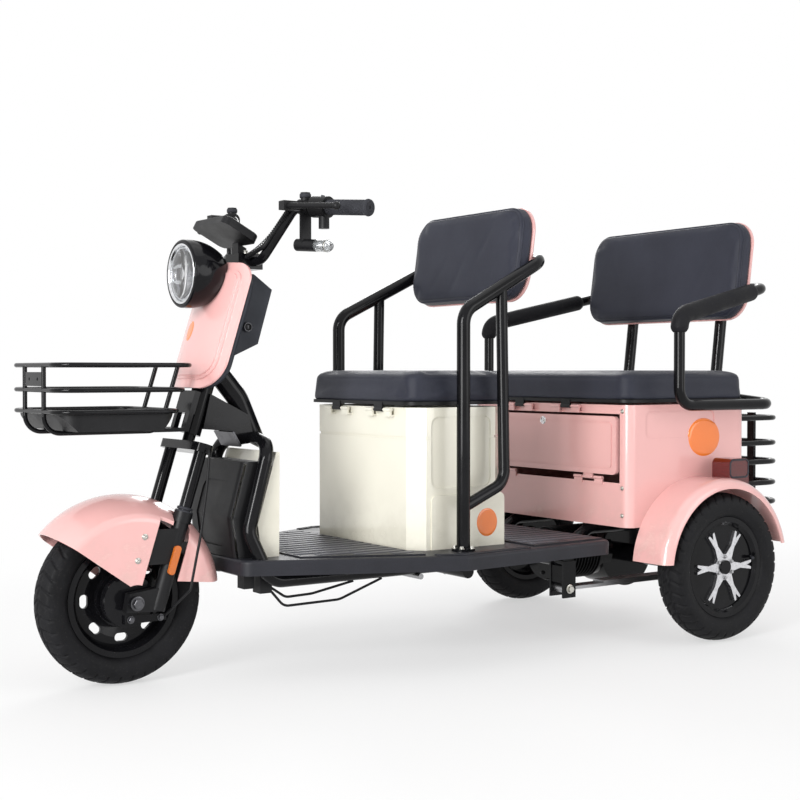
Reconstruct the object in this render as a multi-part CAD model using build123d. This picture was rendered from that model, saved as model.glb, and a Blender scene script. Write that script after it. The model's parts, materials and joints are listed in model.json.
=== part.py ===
from build123d import *
import os
from math import sin, cos, tan, radians, hypot

os.makedirs("parts", exist_ok=True)

# All lengths are in mm. While it is laid out, X runs back from the front axle, Y to the
# rider's right and Z up from the road. Every piece is moved at the end so that the origin
# lies under the middle of the whole vehicle.

# clearances and sheet
running_gap = 0.3
moving_gap = 6.0
sheet = 4.0

# wheels
tyre_radius = 190.0
tyre_width = 82.0
shoulder_drop = 12.0
shoulder_in = 5.0
rim_radius = 120.0
rim_width = 58.0
rim_wall = 12.0
bead_wide = 5.0
flange_high = 9.0
wheel_base = 1474.0
rear_track = 792.0
axle_height = tyre_radius
spindle_radius = 8.0
hub_radius = 30.0
hub_half = 34.0
drum_radius = 62.0
drum_left = -24.0
drum_right = 20.0
vent_count = 8
vent_circle = 86.0
vent_long = 30.0
vent_wide = 18.0
stub_radius = 14.0
stub_long = 96.0
rear_hub_radius = 42.0
rear_hub_in = 26.0
rear_disc_out = 16.0
rear_disc_thick = 8.0
cap_radius = 18.0
cap_high = 14.0
star_arms = 6
star_ring = 33.0
star_reach = 98.0
star_thick = 9.0

# steering axis and fork
rake = 17.4
axis_x = 299.0
axis_z = 946.0
leg_y = 78.0
stanchion_radius = 14.0
slider_radius = 18.0
slider_top_z = 371.0
slider_foot_z = 168.0
collar_radius = slider_radius + 3
clamp_z = 520.0
clamp_thick = 20.0
clamp_deep = 50.0
head_radius = 24.0
stem_radius = 14.0
head_low_z = clamp_z + 28
bar_clamp_half = 18.0
head_top_z = axis_z - bar_clamp_half - 28
reflector_low_z = 246.0
reflector_top_z = 308.0
reflector_half = 8.0

# handlebar
bar_radius = 11.0
bar_clamp_x = axis_x + 27
bar_rise_z = 1064.0
bar_rise_x = 366.0
bar_rise_y = 150.0
bar_end_x = 432.0
bar_end_y = 350.0
bar_end_z = 1047.0
bar_bend = 40.0
grip_radius = 17.0
grip_length = 118.0
grip_cap = 6.0
pod_start = 56.0
pod_radius = 24.0
switch_radius = 12.0
switch_drop = 48.0
perch_start = 14.0
perch_long = 32.0
perch_radius = 17.0
perch_ahead = 62.0
boss_radius = 11.0
boss_high = 32.0
mirror_hole = 4.0
mirror_deep = 16.0
lever_radius = 6.5
lever_ball = 9.0
turn_drop = 86.0
turn_radius = 14.0
turn_in = 24.0
turn_out = 34.0
turn_lens = 42.0
strap_wide = 26.0
strap_thick = 8.0
loom_radius = 5.0

# dash
dash_x = 265.0
dash_z = 1014.0
dash_tilt = 28.0
dash_long = 96.0
dash_half = 85.0
dash_thick = 20.0
dash_corner = 18.0

# front fender
fender_radius = 230.0
fender_shoulder = 186.0
fender_half = 98.0
fender_bore = 40.0
fender_round = 26.0
slot_ahead = 58.0
slot_side = 22.0

# column shield
shield_half = 122.0
shield_bow = 46.0
shield_edge = 20.0
shield_skin = 5.0
shield_raise = 8.0
shield_border = 20.0
shield_low_z = 642.0
shield_top_z = 927.0
cover_half = 78.0
cover_wall = 4.0
key_x = 279.0
key_z = 792.0
key_radius = 11.0

# headlight
lamp_x = 160.0
lamp_z = 913.0
lamp_radius = 77.5
lamp_long = 105.0
lamp_tail = 30.0
lamp_bezel = 8.0
lamp_deep = 22.0

# basket
basket_front = -190.0
basket_back = 118.0
basket_half = 155.0
basket_rim_z = 705.0
basket_mid_z = 652.0
basket_low_z = 606.0
basket_floor_z = 560.0
basket_bar = 5.0
basket_corner = 50.0
basket_rib_y = 58.0
plate_z = 675.0
plate_high = 30.0
plate_hole = 3.5
plate_pitch = 50.0
tray_gap = 8.0
tray_wall = 3.0

# deck
deck_top = 270.0
deck_low = 235.0
deck_front = 232.0
deck_front_half = 150.0
deck_wide_x = 700.0
deck_wide_half = 360.0
deck_rear = 1180.0
deck_rear_half = 322.0
deck_corner = 30.0
deck_edge = 8.0
mat_thick = 4.0
mat_border = 26.0

# frame tubes
rail_radius = 16.0
rail_y = 150.0
rail_z = deck_low - rail_radius
rail_bend = 45.0
kick_front = 1150.0
kick_back = 1250.0
down_radius = 25.0
hoop_half = 122.0
hoop_top_z = 525.0
hoop_knee_z = 330.0
guard_half = 112.0

# front seat
box_front = 637.0
box_back = 910.0
box_half = 232.0
box_top = 606.0
box_corner = 34.0
crease_z = 534.0
crease_deep = 3.0
wall = 6.0
seat_lap = 8.0
cushion_front = box_front - 15
cushion_back = box_back + 15
cushion_half = box_half + seat_lap
cushion_thick = 72.0
cushion_corner = 40.0
cushion_edge = 18.0
lid_thick = 8.0
hinge_radius = 4.5
pin_radius = 2.0
post_radius = 16.0
post_front_x = 745.0
post_rear_x = 867.0
post_y = box_half + 46.5
post_bend = 50.0
handrail_knee_z = 832.0
handrail_back_y = 252.0
handrail_back_z = 970.0

# backrests
recline = 8.0
pad_thick = 38.0
shell_thick = 10.0
rest_deep = (pad_thick + shell_thick) / 2
front_rest_x = 949.0 + rest_deep
front_rest_z = 985.0
front_rest_half = 232.0
front_rest_high = 238.0
rear_rest_x = 1656.0 + rest_deep
rear_rest_z = 968.0
rear_rest_half = 303.0
rear_rest_high = 272.0
rest_corner = 66.0

# rear box
chest_front = 1230.0
chest_back = 1660.0
chest_half = 322.0
chest_low = 295.0
chest_top = 606.0
chest_corner = 25.0
bench_front = chest_front - 15
bench_back = chest_back + 8
bench_half = chest_half + seat_lap
door_low = 428.0
door_top = 577.0
door_half = chest_half - 37
door_thick = 12.0
door_corner = 12.0
groove_in = 14.0
groove_wide = 4.0
groove_deep = 2.5
chest_rail_z = chest_low - rail_radius

# rear fenders
arch_in = chest_half
arch_out = rear_track / 2 + tyre_width / 2 + 3
arch_radius = tyre_radius + 38
arch_open = tyre_radius + 12
arch_round = 26.0
arch_front_z = 212.0
arch_back_z = 240.0

# armrests and rack
arm_y = 390.0
arm_radius = 14.0
arm_low_z = 605.0
arm_front_x = 1340.0
arm_front_z = 832.0
arm_back_x = 1722.0
arm_back_y = 335.0
arm_back_z = 918.0
arm_bend = 45.0
arm_pad = 23.0
pad_share = 0.84
tail_post_x = 1690.0
tail_post_y = 175.0
tail_knee_z = 580.0
tail_top_x = 1738.0
tail_top_z = 975.0
rack_back = 1850.0
rack_half = 285.0
rack_bar = 7.0
rack_heights = (331.0, 384.0, 442.0, 494.0, 563.0)

# rear axle
axle_tube = 25.0
gear_radius = 92.0
motor_radius = 68.0
motor_long = 160.0
drum_plate = 78.0
spring_y = 250.0
spring_z = 150.0
spring_half = 20.0
spring_front_x = 1076.0
spring_back_x = 1706.0
eye_radius = 12.0
hanger_thick = 6.0
cable_radius = 3.0

x_front = basket_front - basket_bar
x_rear = rack_back + rack_bar
x_middle = (x_front + x_rear) / 2


def save(name, *shapes):
    moved = [Pos(-x_middle, 0, 0) * shape for shape in shapes]
    solids = [solid for shape in moved for solid in shape.solids()]
    whole = solids[0] if len(solids) == 1 else Compound(children=solids)
    export_step(whole, "parts/" + name + ".step")


def tube(points, radius, bend):
    path = FilletPolyline(*points, radius=bend) if len(points) > 2 else Line(*points)
    return sweep((path ^ 0) * Circle(radius), path=path)


def rod(start, end, radius):
    way = Vector(*end) - Vector(*start)
    plane = Plane(origin=start, z_dir=way)
    return extrude(plane * Circle(radius), way.length)


def block(x0, x1, y0, y1, z0, z1):
    return Pos((x0 + x1) / 2, (y0 + y1) / 2, (z0 + z1) / 2) * Box(x1 - x0, y1 - y0, z1 - z0)


def across(x, z, y0, y1, radius):
    low, high = sorted((y0, y1))
    return Pos(x, (low + high) / 2, z) * Rot(90, 0, 0) * Cylinder(radius, high - low)


def mirrored(shape):
    return mirror(shape, about=Plane.XZ)


def both(shape):
    return [shape, mirrored(shape)]


def side_profile(points, y0, y1):
    low, high = sorted((y0, y1))
    face = Plane.XZ * make_face(Polyline(*points, close=True))
    return Pos(0, high, 0) * extrude(face, high - low, dir=(0, -1, 0))


def axis_at(z):
    return axis_x + tan(radians(rake)) * (z - axis_z)


def along_axis(z):
    return (z - axis_z) / cos(radians(rake))


def tilted(x, z, angle):
    return Plane(origin=(x, 0, z), x_dir=(cos(radians(angle)), 0, -sin(radians(angle))),
                 z_dir=(sin(radians(angle)), 0, cos(radians(angle))))


axis_plane = tilted(axis_x, axis_z, rake)


def raked(x, y, z0, z1, radius):
    low = along_axis(z0)
    high = along_axis(z1)
    return axis_plane * Pos(x, y, (low + high) / 2) * Cylinder(radius, high - low)


def raked_block(x0, x1, y0, y1, z0, z1):
    return axis_plane * block(x0, x1, y0, y1, along_axis(z0), along_axis(z1))


def turned(face, x, y):
    return Pos(x, y, axle_height) * Rot(-90, 0, 0) * revolve(Plane.XZ * face, Axis.Z)


# wheels
half = tyre_width / 2
edge = rim_width / 2
seat_half = edge - bead_wide


def tyre(x, y):
    bore = rim_radius + running_gap
    lip = rim_radius + flange_high + 1
    side = edge + 1
    shoulder = tyre_radius - shoulder_drop
    flank = (lip + shoulder) / 2
    tread = half - shoulder_in
    section = [
        Polyline((lip, -side), (lip, -seat_half), (bore, -seat_half)),
        Polyline((bore, -seat_half), (bore, seat_half), (lip, seat_half), (lip, side)),
        ThreePointArc((lip, side), (flank, half), (shoulder, tread)),
        ThreePointArc((shoulder, tread), (tyre_radius, 0), (shoulder, -tread)),
        ThreePointArc((shoulder, -tread), (flank, -half), (lip, -side)),
    ]
    return turned(make_face(Curve() + section), x, y)


def rim_ring(x, y):
    well = rim_radius - rim_wall
    well_half = seat_half - bead_wide
    lip = rim_radius + flange_high
    taper = rim_radius - rim_wall / 3
    outline = Polyline(
        (rim_radius, seat_half), (lip, seat_half), (lip, edge), (taper, edge), (well, well_half),
        (well, -well_half), (taper, -edge), (lip, -edge), (lip, -seat_half), (rim_radius, -seat_half), close=True)
    return turned(make_face(outline), x, y)


spindle_hole = across(0, axle_height, -leg_y, leg_y, spindle_radius + running_gap)
disc_in = drum_radius - sheet
disc_out = rim_radius - rim_wall + 1
disc_section = make_face(Polyline(
    (disc_in, -8), (vent_circle, -12), (disc_out, -7), (disc_out, 2), (vent_circle, -4), (disc_in, 1), close=True))
vent_slot = Rot(0, 0, 90) * SlotCenterToCenter(vent_long - vent_wide, vent_wide)
vent = Pos(vent_circle, 0, 0) * extrude(Plane.XZ * vent_slot, edge, both=True)
front_disc = turned(disc_section, 0, 0)
front_disc -= [Pos(0, 0, axle_height) * Rot(0, turn * 360 / vent_count, 0) * vent for turn in range(vent_count)]
front_rim = rim_ring(0, 0) + front_disc
front_rim += across(0, axle_height, -hub_half, hub_half, hub_radius)
front_rim += across(0, axle_height, drum_left, drum_right, drum_radius)
save("front_rim", front_rim - spindle_hole)
save("front_tyre", tyre(0, 0))

rear_y = rear_track / 2
arm_face = make_face(Polyline(
    (star_ring - 8, -13), (star_reach * 0.6, -6), (star_reach, -12), (star_reach, -6), (star_reach * 0.84, 0),
    (star_reach, 6), (star_reach, 12), (star_reach * 0.6, 6), (star_ring - 8, 13), close=True))
star_face = Circle(star_ring) + [Rot(0, 0, turn * 360 / star_arms) * arm_face for turn in range(star_arms)]
star_face -= Circle(cap_radius + running_gap)
for side, sign in (("left", -1), ("right", 1)):
    y = sign * rear_y
    face_y = y + sign * rear_disc_out
    rim = rim_ring(wheel_base, y)
    rim += across(wheel_base, axle_height, y - sign * rear_hub_in, face_y, rear_hub_radius)
    rim += across(wheel_base, axle_height, face_y - sign * rear_disc_thick, face_y, disc_out)
    rim += across(wheel_base, axle_height, face_y, face_y + sign * cap_high, cap_radius)
    rim += across(wheel_base, axle_height, y - sign * stub_long, y, stub_radius)
    save("rear_" + side + "_rim", rim)
    save("rear_" + side + "_tyre", tyre(wheel_base, y))
    star = extrude(Plane.XZ * star_face, star_thick, dir=(0, sign, 0))
    save("rear_" + side + "_star", Pos(wheel_base, face_y, axle_height) * star)

# fork and steering stem
stem = raked(0, 0, clamp_z, axis_z - bar_clamp_half, stem_radius)
clamp_slot = Rot(0, 0, 90) * SlotCenterToCenter(2 * leg_y, clamp_deep)
clamp = axis_plane * Pos(0, 0, along_axis(clamp_z) - clamp_thick / 2) * extrude(clamp_slot, clamp_thick)
legs = [raked(0, sign * leg_y, slider_top_z, clamp_z, stanchion_radius) for sign in (-1, 1)]
fork = clamp + stem + legs
save("fork", fork)

# front fender: a domed crown turned about the wheel, with side skirts cut to their outline


def dome(grow):
    side = fender_half + grow
    shoulder = fender_shoulder + grow
    bore = fender_bore + min(grow, 0)
    outline = [
        Line((bore, -side), (shoulder, -side)),
        ThreePointArc((shoulder, -side), (fender_radius + grow, 0), (shoulder, side)),
        Polyline((shoulder, side), (bore, side), (bore, -side)),
    ]
    face = make_face(Curve() + outline)
    face = fillet(face.vertices().sort_by(Axis.X)[-2:], fender_round + grow)
    return turned(face, 0, 0)


skirt_low = axle_height + 38
fender_line = [
    (-180, axle_height + 157), (-14, skirt_low), (40, skirt_low), (70, skirt_low + 5), (170, axle_height + 32),
    (300, axle_height + 22), (300, 500), (-300, 500), (-300, axle_height + 170)]
fender = (dome(0) - dome(-sheet)) & side_profile(fender_line, -fender_half - 1, fender_half + 1)
for sign in (-1, 1):
    slot_in = sign * (leg_y - slot_side)
    slot_out = sign * (fender_half + 1)
    low, high = sorted((slot_in, slot_out))
    fender -= raked_block(-slot_side, slot_side, low, high, slider_foot_z, clamp_z)
    low, high = sorted((sign * (fender_half - 2 * sheet), slot_out))
    fender -= raked_block(-slot_ahead, slot_side, low, high, slider_foot_z, slider_top_z - 6)
save("front_fender", fender)

# sliders with axle lugs, dust collars and the tabs that carry the fender
skirt_in = fender_half - sheet
foot_x = axis_at(axle_height)
lug_line = [(-20, axle_height - 20), (foot_x, axle_height - 24), (foot_x + 8, axle_height + 30), (-12, axle_height + 20)]
front_tab = [(-10, axle_height + 80), (90, axle_height + 80), (105, axle_height + 156), (8, axle_height + 156)]
rear_tab = [(90, axle_height + 100), (124, axle_height + 100), (130, axle_height + 124), (96, axle_height + 124)]
sliders = []
for sign in (-1, 1):
    slider = raked(0, sign * leg_y, slider_foot_z, slider_top_z, slider_radius)
    slider += raked(0, sign * leg_y, slider_top_z - 14, slider_top_z + 8, collar_radius)
    slider += side_profile(lug_line, sign * (leg_y - 12), sign * (leg_y + 12))
    slider += side_profile(front_tab, sign * (skirt_in - 6), sign * skirt_in)
    slider += side_profile(rear_tab, sign * (skirt_in - 6), sign * skirt_in)
    slider -= across(0, axle_height, -fender_half, fender_half, spindle_radius)
    sliders.append(slider - legs)
save("fork_sliders", *sliders)

reflectors = []
for sign in (-1, 1):
    low, high = sorted((sign * (leg_y + slider_radius - 3), sign * (leg_y + slider_radius + 5)))
    glass = raked_block(-reflector_half, reflector_half, low, high, reflector_low_z, reflector_top_z)
    glass = fillet(glass.edges().filter_by(Axis.Y), reflector_half - 1)
    reflectors.append(glass - sliders)
save("fork_reflectors", *reflectors)

nut_in = leg_y + 12
nut_out = leg_y + 24
plate_out = -58.0
arm_line = [(-14, axle_height - 50), (84, axle_height - 48), (84, axle_height - 34), (-14, axle_height - 30)]
front_axle = across(0, axle_height, -nut_out, nut_out, spindle_radius)
front_axle += [across(0, axle_height, sign * nut_in, sign * nut_out, 15) for sign in (-1, 1)]
front_axle += across(0, axle_height, plate_out, drum_left - 2 * moving_gap, drum_radius - 4)
front_axle += side_profile(arm_line, plate_out - 8, plate_out)
save("front_axle", front_axle)

cable_y = -(leg_y + 42)
brake_cable = tube(
    [
        (axis_at(clamp_z), -leg_y - 18, clamp_z),
        (axis_at(clamp_z), cable_y + 2, clamp_z - 4),
        (158, cable_y, 440),
        (142, cable_y, 330),
        (118, cable_y + 2, 212),
        (80, plate_out - 4, axle_height - 41),
    ],
    cable_radius, 14)
save("front_brake_cable", brake_cable - fork - front_axle)

# handlebar group
clamp_block = block(axis_x - 16, bar_clamp_x + 20, -32, 32, axis_z - bar_clamp_half, axis_z + bar_clamp_half)
bar_path = [
    (bar_end_x, -bar_end_y, bar_end_z),
    (bar_rise_x, -bar_rise_y, bar_rise_z),
    (bar_clamp_x, -62, axis_z),
    (bar_clamp_x, 62, axis_z),
    (bar_rise_x, bar_rise_y, bar_rise_z),
    (bar_end_x, bar_end_y, bar_end_z),
]
handlebar = tube(bar_path, bar_radius, bar_bend) + (clamp_block - fork)
save("handlebar", handlebar)


def on_bar(sign, along):
    start = Vector(bar_rise_x, sign * bar_rise_y, bar_rise_z)
    reach = Vector(bar_end_x, sign * bar_end_y, bar_end_z) - start
    return start + reach.normalized() * along


bar_run = hypot(hypot(bar_end_x - bar_rise_x, bar_end_y - bar_rise_y), bar_end_z - bar_rise_z)
grip_start = bar_run - grip_length + grip_cap
grips = []
controls = []
lamps = []
lenses = []
for sign in (-1, 1):
    way = (on_bar(sign, bar_run) - on_bar(sign, 0)).normalized()
    grip = rod(tuple(on_bar(sign, grip_start)), tuple(on_bar(sign, bar_run + grip_cap)), grip_radius)
    grips.append(grip - rod(tuple(on_bar(sign, 0)), tuple(on_bar(sign, bar_run)), bar_radius))
    pod = rod(tuple(on_bar(sign, pod_start)), tuple(on_bar(sign, grip_start)), pod_radius)
    stalk = on_bar(sign, grip_start - switch_radius - 2)
    pod += rod(tuple(stalk), tuple(stalk - Vector(0, 0, switch_drop)), switch_radius)
    controls.append(pod - handlebar)
    perch_in = on_bar(sign, perch_start)
    perch_out = on_bar(sign, perch_start + perch_long)
    mid = (perch_in + perch_out) * 0.5
    perch = rod(tuple(perch_in), tuple(perch_out), perch_radius)
    perch += block(mid.X - perch_ahead, mid.X, mid.Y - 12, mid.Y + 12, mid.Z - 10, mid.Z + 10)
    perch += rod(tuple(mid), tuple(mid + Vector(0, 0, boss_high)), boss_radius)
    tip = on_bar(sign, bar_run - 20) - Vector(perch_ahead, 0, 0)
    perch += rod((mid.X - perch_ahead + 10, mid.Y, mid.Z), tuple(tip), lever_radius)
    perch += Pos(*tip) * Sphere(lever_ball)
    perch -= Pos(mid.X, mid.Y, mid.Z + boss_high - mirror_deep / 2) * Cylinder(mirror_hole, mirror_deep)
    controls.append(perch - handlebar)
    strap = block(mid.X - strap_wide / 2, mid.X + strap_wide / 2, mid.Y - strap_thick / 2, mid.Y + strap_thick / 2,
                  mid.Z - turn_drop, mid.Z)
    strap -= rod(tuple(on_bar(sign, perch_start - 40)), tuple(on_bar(sign, perch_start + 90)), perch_radius)
    low = mid - Vector(0, 0, turn_drop)
    lamps.append(strap + rod(tuple(low - way * turn_in), tuple(low + way * turn_out), turn_radius))
    lens = rod(tuple(low + way * turn_out), tuple(low + way * (turn_out + turn_lens)), turn_radius)
    lenses.append(fillet(lens.edges().sort_by(Axis.Y)[0 if sign < 0 else -1], turn_radius * 0.6))
    if sign < 0:
        loom_start = (mid.X - 30, mid.Y + 11, mid.Z)
save("grips", *grips)
save("bar_controls", *controls)
save("turn_lamps", *lamps)
save("turn_lenses", *lenses)

loom_route = [
    loom_start,
    (loom_start[0] + 4, loom_start[1] + 40, bar_rise_z - 24),
    (bar_clamp_x - 6, -84, axis_z + 30),
    (axis_x + 4, -31, axis_z + 8),
]
loom = tube(loom_route, loom_radius, 20)
save("bar_loom", loom - handlebar - controls)

dash_plane = tilted(dash_x, dash_z, dash_tilt)
dash = Box(dash_long, 2 * dash_half, dash_thick)
dash = fillet(dash.edges().filter_by(Axis.Z), dash_corner)
dash = dash_plane * fillet(dash.faces().sort_by(Axis.Z)[-1].edges(), dash_thick / 4)
under_dash = dash_plane * Pos(0, 0, -dash_thick / 2 - 500) * Box(1000, 1000, 1000)
dash_post = block(axis_x - 8, axis_x + 14, -14, 14, axis_z + bar_clamp_half, dash_z) & under_dash
save("dash", dash + dash_post)

# front column: a bowed shield with a raised middle
shield_low = along_axis(shield_low_z)
shield_high = along_axis(shield_top_z)
shield_middle = (shield_low + shield_high) / 2


def shield_outline(inset, low_round, top_round):
    face = Rectangle(2 * (shield_half - inset), shield_high - shield_low - 2 * inset)
    face = fillet(face.vertices().sort_by(Axis.Y)[:2], low_round)
    face = fillet(face.vertices().sort_by(Axis.Y)[-2:], top_round)
    return Pos(0, 0, shield_middle) * extrude(Plane.YZ * face, 2 * shield_half, both=True)


def bow_wall(ahead):
    sag = shield_bow - shield_edge
    bow_radius = (shield_half ** 2 + sag ** 2) / (2 * sag)
    return Pos(bow_radius - shield_bow - ahead, 0, shield_middle) * Cylinder(bow_radius, 2 * (shield_high - shield_low))


def bowed(ahead, behind, outline):
    front_side = Pos(-500, 0, shield_middle) * Box(1000, 1000, 2000)
    return ((outline & bow_wall(ahead)) - bow_wall(-behind)) & front_side


shield_base = bowed(0, shield_skin, shield_outline(0, 70, 38))
shield_step = bowed(shield_raise * 0.55, shield_skin / 2, shield_outline(shield_border, 52, 22))
shield_crown = bowed(shield_raise, shield_skin / 3, shield_outline(shield_border + 7, 46, 17))
shield = axis_plane * (shield_base + shield_step + shield_crown)
save("front_shield", shield)

bowl_line = [
    Line((0, 0), (0, lamp_radius)),
    ThreePointArc((0, lamp_radius), (lamp_long * 0.6, lamp_radius * 0.84), (lamp_long, lamp_tail)),
    Polyline((lamp_long, lamp_tail), (lamp_long, 0), (0, 0)),
]
bowl = Pos(lamp_x, 0, lamp_z) * revolve(make_face(Curve() + bowl_line), Axis.X)
ahead_of_head = axis_plane * Pos(-shield_bow - 500, 0, 0) * Box(1000, 1000, 3000)


def lamp_disc(x0, x1, radius):
    return Pos((x0 + x1) / 2, 0, lamp_z) * Rot(0, 90, 0) * Cylinder(radius, x1 - x0)


glass_radius = lamp_radius - lamp_bezel
bezel = lamp_disc(lamp_x - lamp_bezel, lamp_x, lamp_radius)
bezel = fillet(bezel.edges().sort_by(Axis.X)[0], lamp_bezel * 0.6)
bowl = (bowl & ahead_of_head) + bezel
save("headlight_shell", bowl - lamp_disc(lamp_x - lamp_bezel - 1, lamp_x + lamp_deep, glass_radius) - shield)
save("headlight_lens", lamp_disc(lamp_x - lamp_bezel / 2, lamp_x + lamp_deep, glass_radius))


# backrests
def rest(x, z, half_width, high):
    plane = tilted(x, z, recline)
    soft = Pos(-shell_thick / 2, 0, 0) * Box(pad_thick, 2 * half_width, high)
    soft = fillet(soft.edges().filter_by(Axis.X), rest_corner)
    soft = fillet(soft.faces().sort_by(Axis.X)[0].edges(), pad_thick * 0.4)
    back = Pos(pad_thick / 2, 0, 0) * Box(shell_thick, 2 * half_width, high)
    back = fillet(back.edges().filter_by(Axis.X), rest_corner)
    back = fillet(back.faces().sort_by(Axis.X)[-1].edges(), shell_thick / 2)
    return plane * soft, plane * back, plane


front_pad, front_shell, front_plane = rest(front_rest_x, front_rest_z, front_rest_half, front_rest_high)
rear_pad, rear_shell, rear_plane = rest(rear_rest_x, rear_rest_z, rear_rest_half, rear_rest_high)
save("front_backrest", front_pad)
save("front_backrest_shell", front_shell)
save("rear_backrest", rear_pad)
save("rear_backrest_shell", rear_shell)

# frame: head tube, down tube, front hoop that runs on as the deck rails, tail posts and cross tubes
head_hole = raked(0, 0, head_low_z - 60, head_top_z + 60, stem_radius + running_gap)
neck = tube([(axis_at(712), 0, 712), (295, 0, 630), (338, 0, 532)], down_radius, 90)
frame = (raked(0, 0, head_low_z, head_top_z, head_radius) + neck) - head_hole
neck_front = [(262, 554), (282, 520)]
gusset_line = [(axis_at(640) + 10, 640), (axis_at(560) + 16, 560), *neck_front, (326, 528), (312, 590)]
for sign in (-1, 1):
    frame += tube(
        [
            (330, 0, hoop_top_z + 15),
            (312, sign * hoop_half, hoop_top_z),
            (256, sign * (hoop_half + 6), hoop_knee_z),
            (300, sign * rail_y, rail_z),
            (kick_front, sign * rail_y, rail_z),
            (kick_back, sign * rail_y, chest_rail_z),
            (spring_back_x, sign * rail_y, chest_rail_z),
        ],
        rail_radius, rail_bend)
    frame += side_profile(gusset_line, sign * 22, sign * 28) - head_hole
    frame += tube(
        [
            (tail_post_x, sign * tail_post_y, chest_rail_z),
            (tail_post_x, sign * tail_post_y, tail_knee_z),
            (tail_top_x, sign * tail_post_y, tail_top_z),
        ],
        rail_radius, 60)
    frame += Pos(tail_top_x, sign * tail_post_y, tail_top_z) * Sphere(rail_radius)
    frame += rear_plane * Pos(rest_deep + 20, sign * tail_post_y, -45) * Box(40, 24, 70)
    for inner in (spring_y - spring_half - 1 - hanger_thick, spring_y + spring_half + 1):
        low, high = sorted((sign * inner, sign * (inner + hanger_thick)))
        frame += block(spring_front_x - 20, spring_front_x + 20, low, high, spring_z - 22, rail_z)
        frame += block(spring_back_x - 16, spring_back_x + 16, low, high, spring_z - 18, chest_rail_z)
cross_tubes = (
    (330, rail_z, rail_y), (760, rail_z, post_y),
    (spring_front_x, rail_z, spring_y + spring_half), (spring_back_x, chest_rail_z, spring_y + spring_half))
for x, z, reach in cross_tubes:
    frame += across(x, z, -reach, reach, rail_radius)
save("frame", frame)

# grey cover behind the shield, with chamfered corners and the key socket
cover_line = [(axis_at(916) - 40, 916), (298, 913), (312, 903), (345, 879), (308, 754), (241, 724), (axis_at(698) - 40, 698)]
void_line = [(axis_at(911) - 60, 911), (296, 908), (309, 899), (340, 877), (304, 757), (240, 728), (axis_at(690) - 60, 690)]
cover = side_profile(cover_line, -cover_half, cover_half)
cover -= side_profile(void_line, cover_wall - cover_half, cover_half - cover_wall)
cover += across(key_x, key_z, -cover_half - 5, cover_wall - cover_half, key_radius)
save("column_cover", cover - raked(0, 0, head_low_z, head_top_z + 60, head_radius) - frame - shield)
save("neck_plate", side_profile([(258, 552), neck_front[0], neck_front[1], (278, 518)], -48, 48) - frame)

# basket
rear_lean = tan(radians(rake))
floor_back = basket_back - rear_lean * (basket_rim_z - basket_floor_z)


def basket_ring(z):
    back = basket_back - rear_lean * (basket_rim_z - z)
    outline = RectangleRounded(back - basket_front, 2 * basket_half, basket_corner)
    path = (Plane.XY.offset(z) * Pos((basket_front + back) / 2, 0, 0) * outline).wire()
    return sweep((path ^ 0) * Circle(basket_bar), path=path)


basket = basket_ring(basket_rim_z) + basket_ring(basket_mid_z) + basket_ring(basket_low_z)
for y in (-basket_rib_y, basket_rib_y):
    basket += tube(
        [
            (basket_front, y, basket_rim_z),
            (basket_front, y, basket_floor_z),
            (floor_back, y, basket_floor_z),
            (basket_back, y, basket_rim_z),
        ],
        basket_bar, 36)
sign_plate = block(basket_front - 2, basket_front + 2, -basket_rib_y, basket_rib_y,
                   plate_z - plate_high / 2, plate_z + plate_high / 2)
for y in (-plate_pitch / 2, plate_pitch / 2):
    sign_plate -= lamp_disc(basket_front - 10, basket_front + 10, plate_hole).moved(Location((0, y, plate_z - lamp_z)))
basket += sign_plate
for x in (-50, 30):
    basket += across(x, basket_floor_z, -basket_rib_y, basket_rib_y, basket_bar)
strap_low = basket_floor_z - 4
strap_high = basket_floor_z + basket_bar
strap_top = shield_low_z - 4
strap_ahead = (head_radius + 10) / cos(radians(rake))
strap_line = [
    (-60, strap_low), (axis_at(strap_low) - strap_ahead + 12, strap_low),
    (axis_at(strap_top) - strap_ahead + 12, strap_top), (axis_at(strap_top) - strap_ahead, strap_top),
    (axis_at(strap_high) - strap_ahead, strap_high), (-60, strap_high)]
for sign in (-1, 1):
    basket += side_profile(strap_line, sign * 30 - 8, sign * 30 + 8)
basket += raked_block(-head_radius - 10, -head_radius + 4, -38, 38, strap_top - 50, strap_top)
save("basket", basket - frame)


def tray_body(inset, low):
    top_back = basket_back - rear_lean * (basket_rim_z - basket_low_z)
    front = basket_front + tray_gap + inset
    back = top_back - tray_gap - inset
    side = basket_half - tray_gap - inset
    line = [
        (basket_front + 42 + inset, low), (floor_back - 30 - inset, low), (back, basket_low_z + inset),
        (front, basket_low_z + inset), (front, low + 36)]
    plan = RectangleRounded(back - front, 2 * side, basket_corner - tray_gap - inset)
    return side_profile(line, -side, side) & (Pos((front + back) / 2, 0, low) * extrude(plan, 100))


tray_low = basket_floor_z + basket_bar
save("basket_tray", tray_body(0, tray_low) - tray_body(tray_wall, tray_low + tray_wall))

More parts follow.
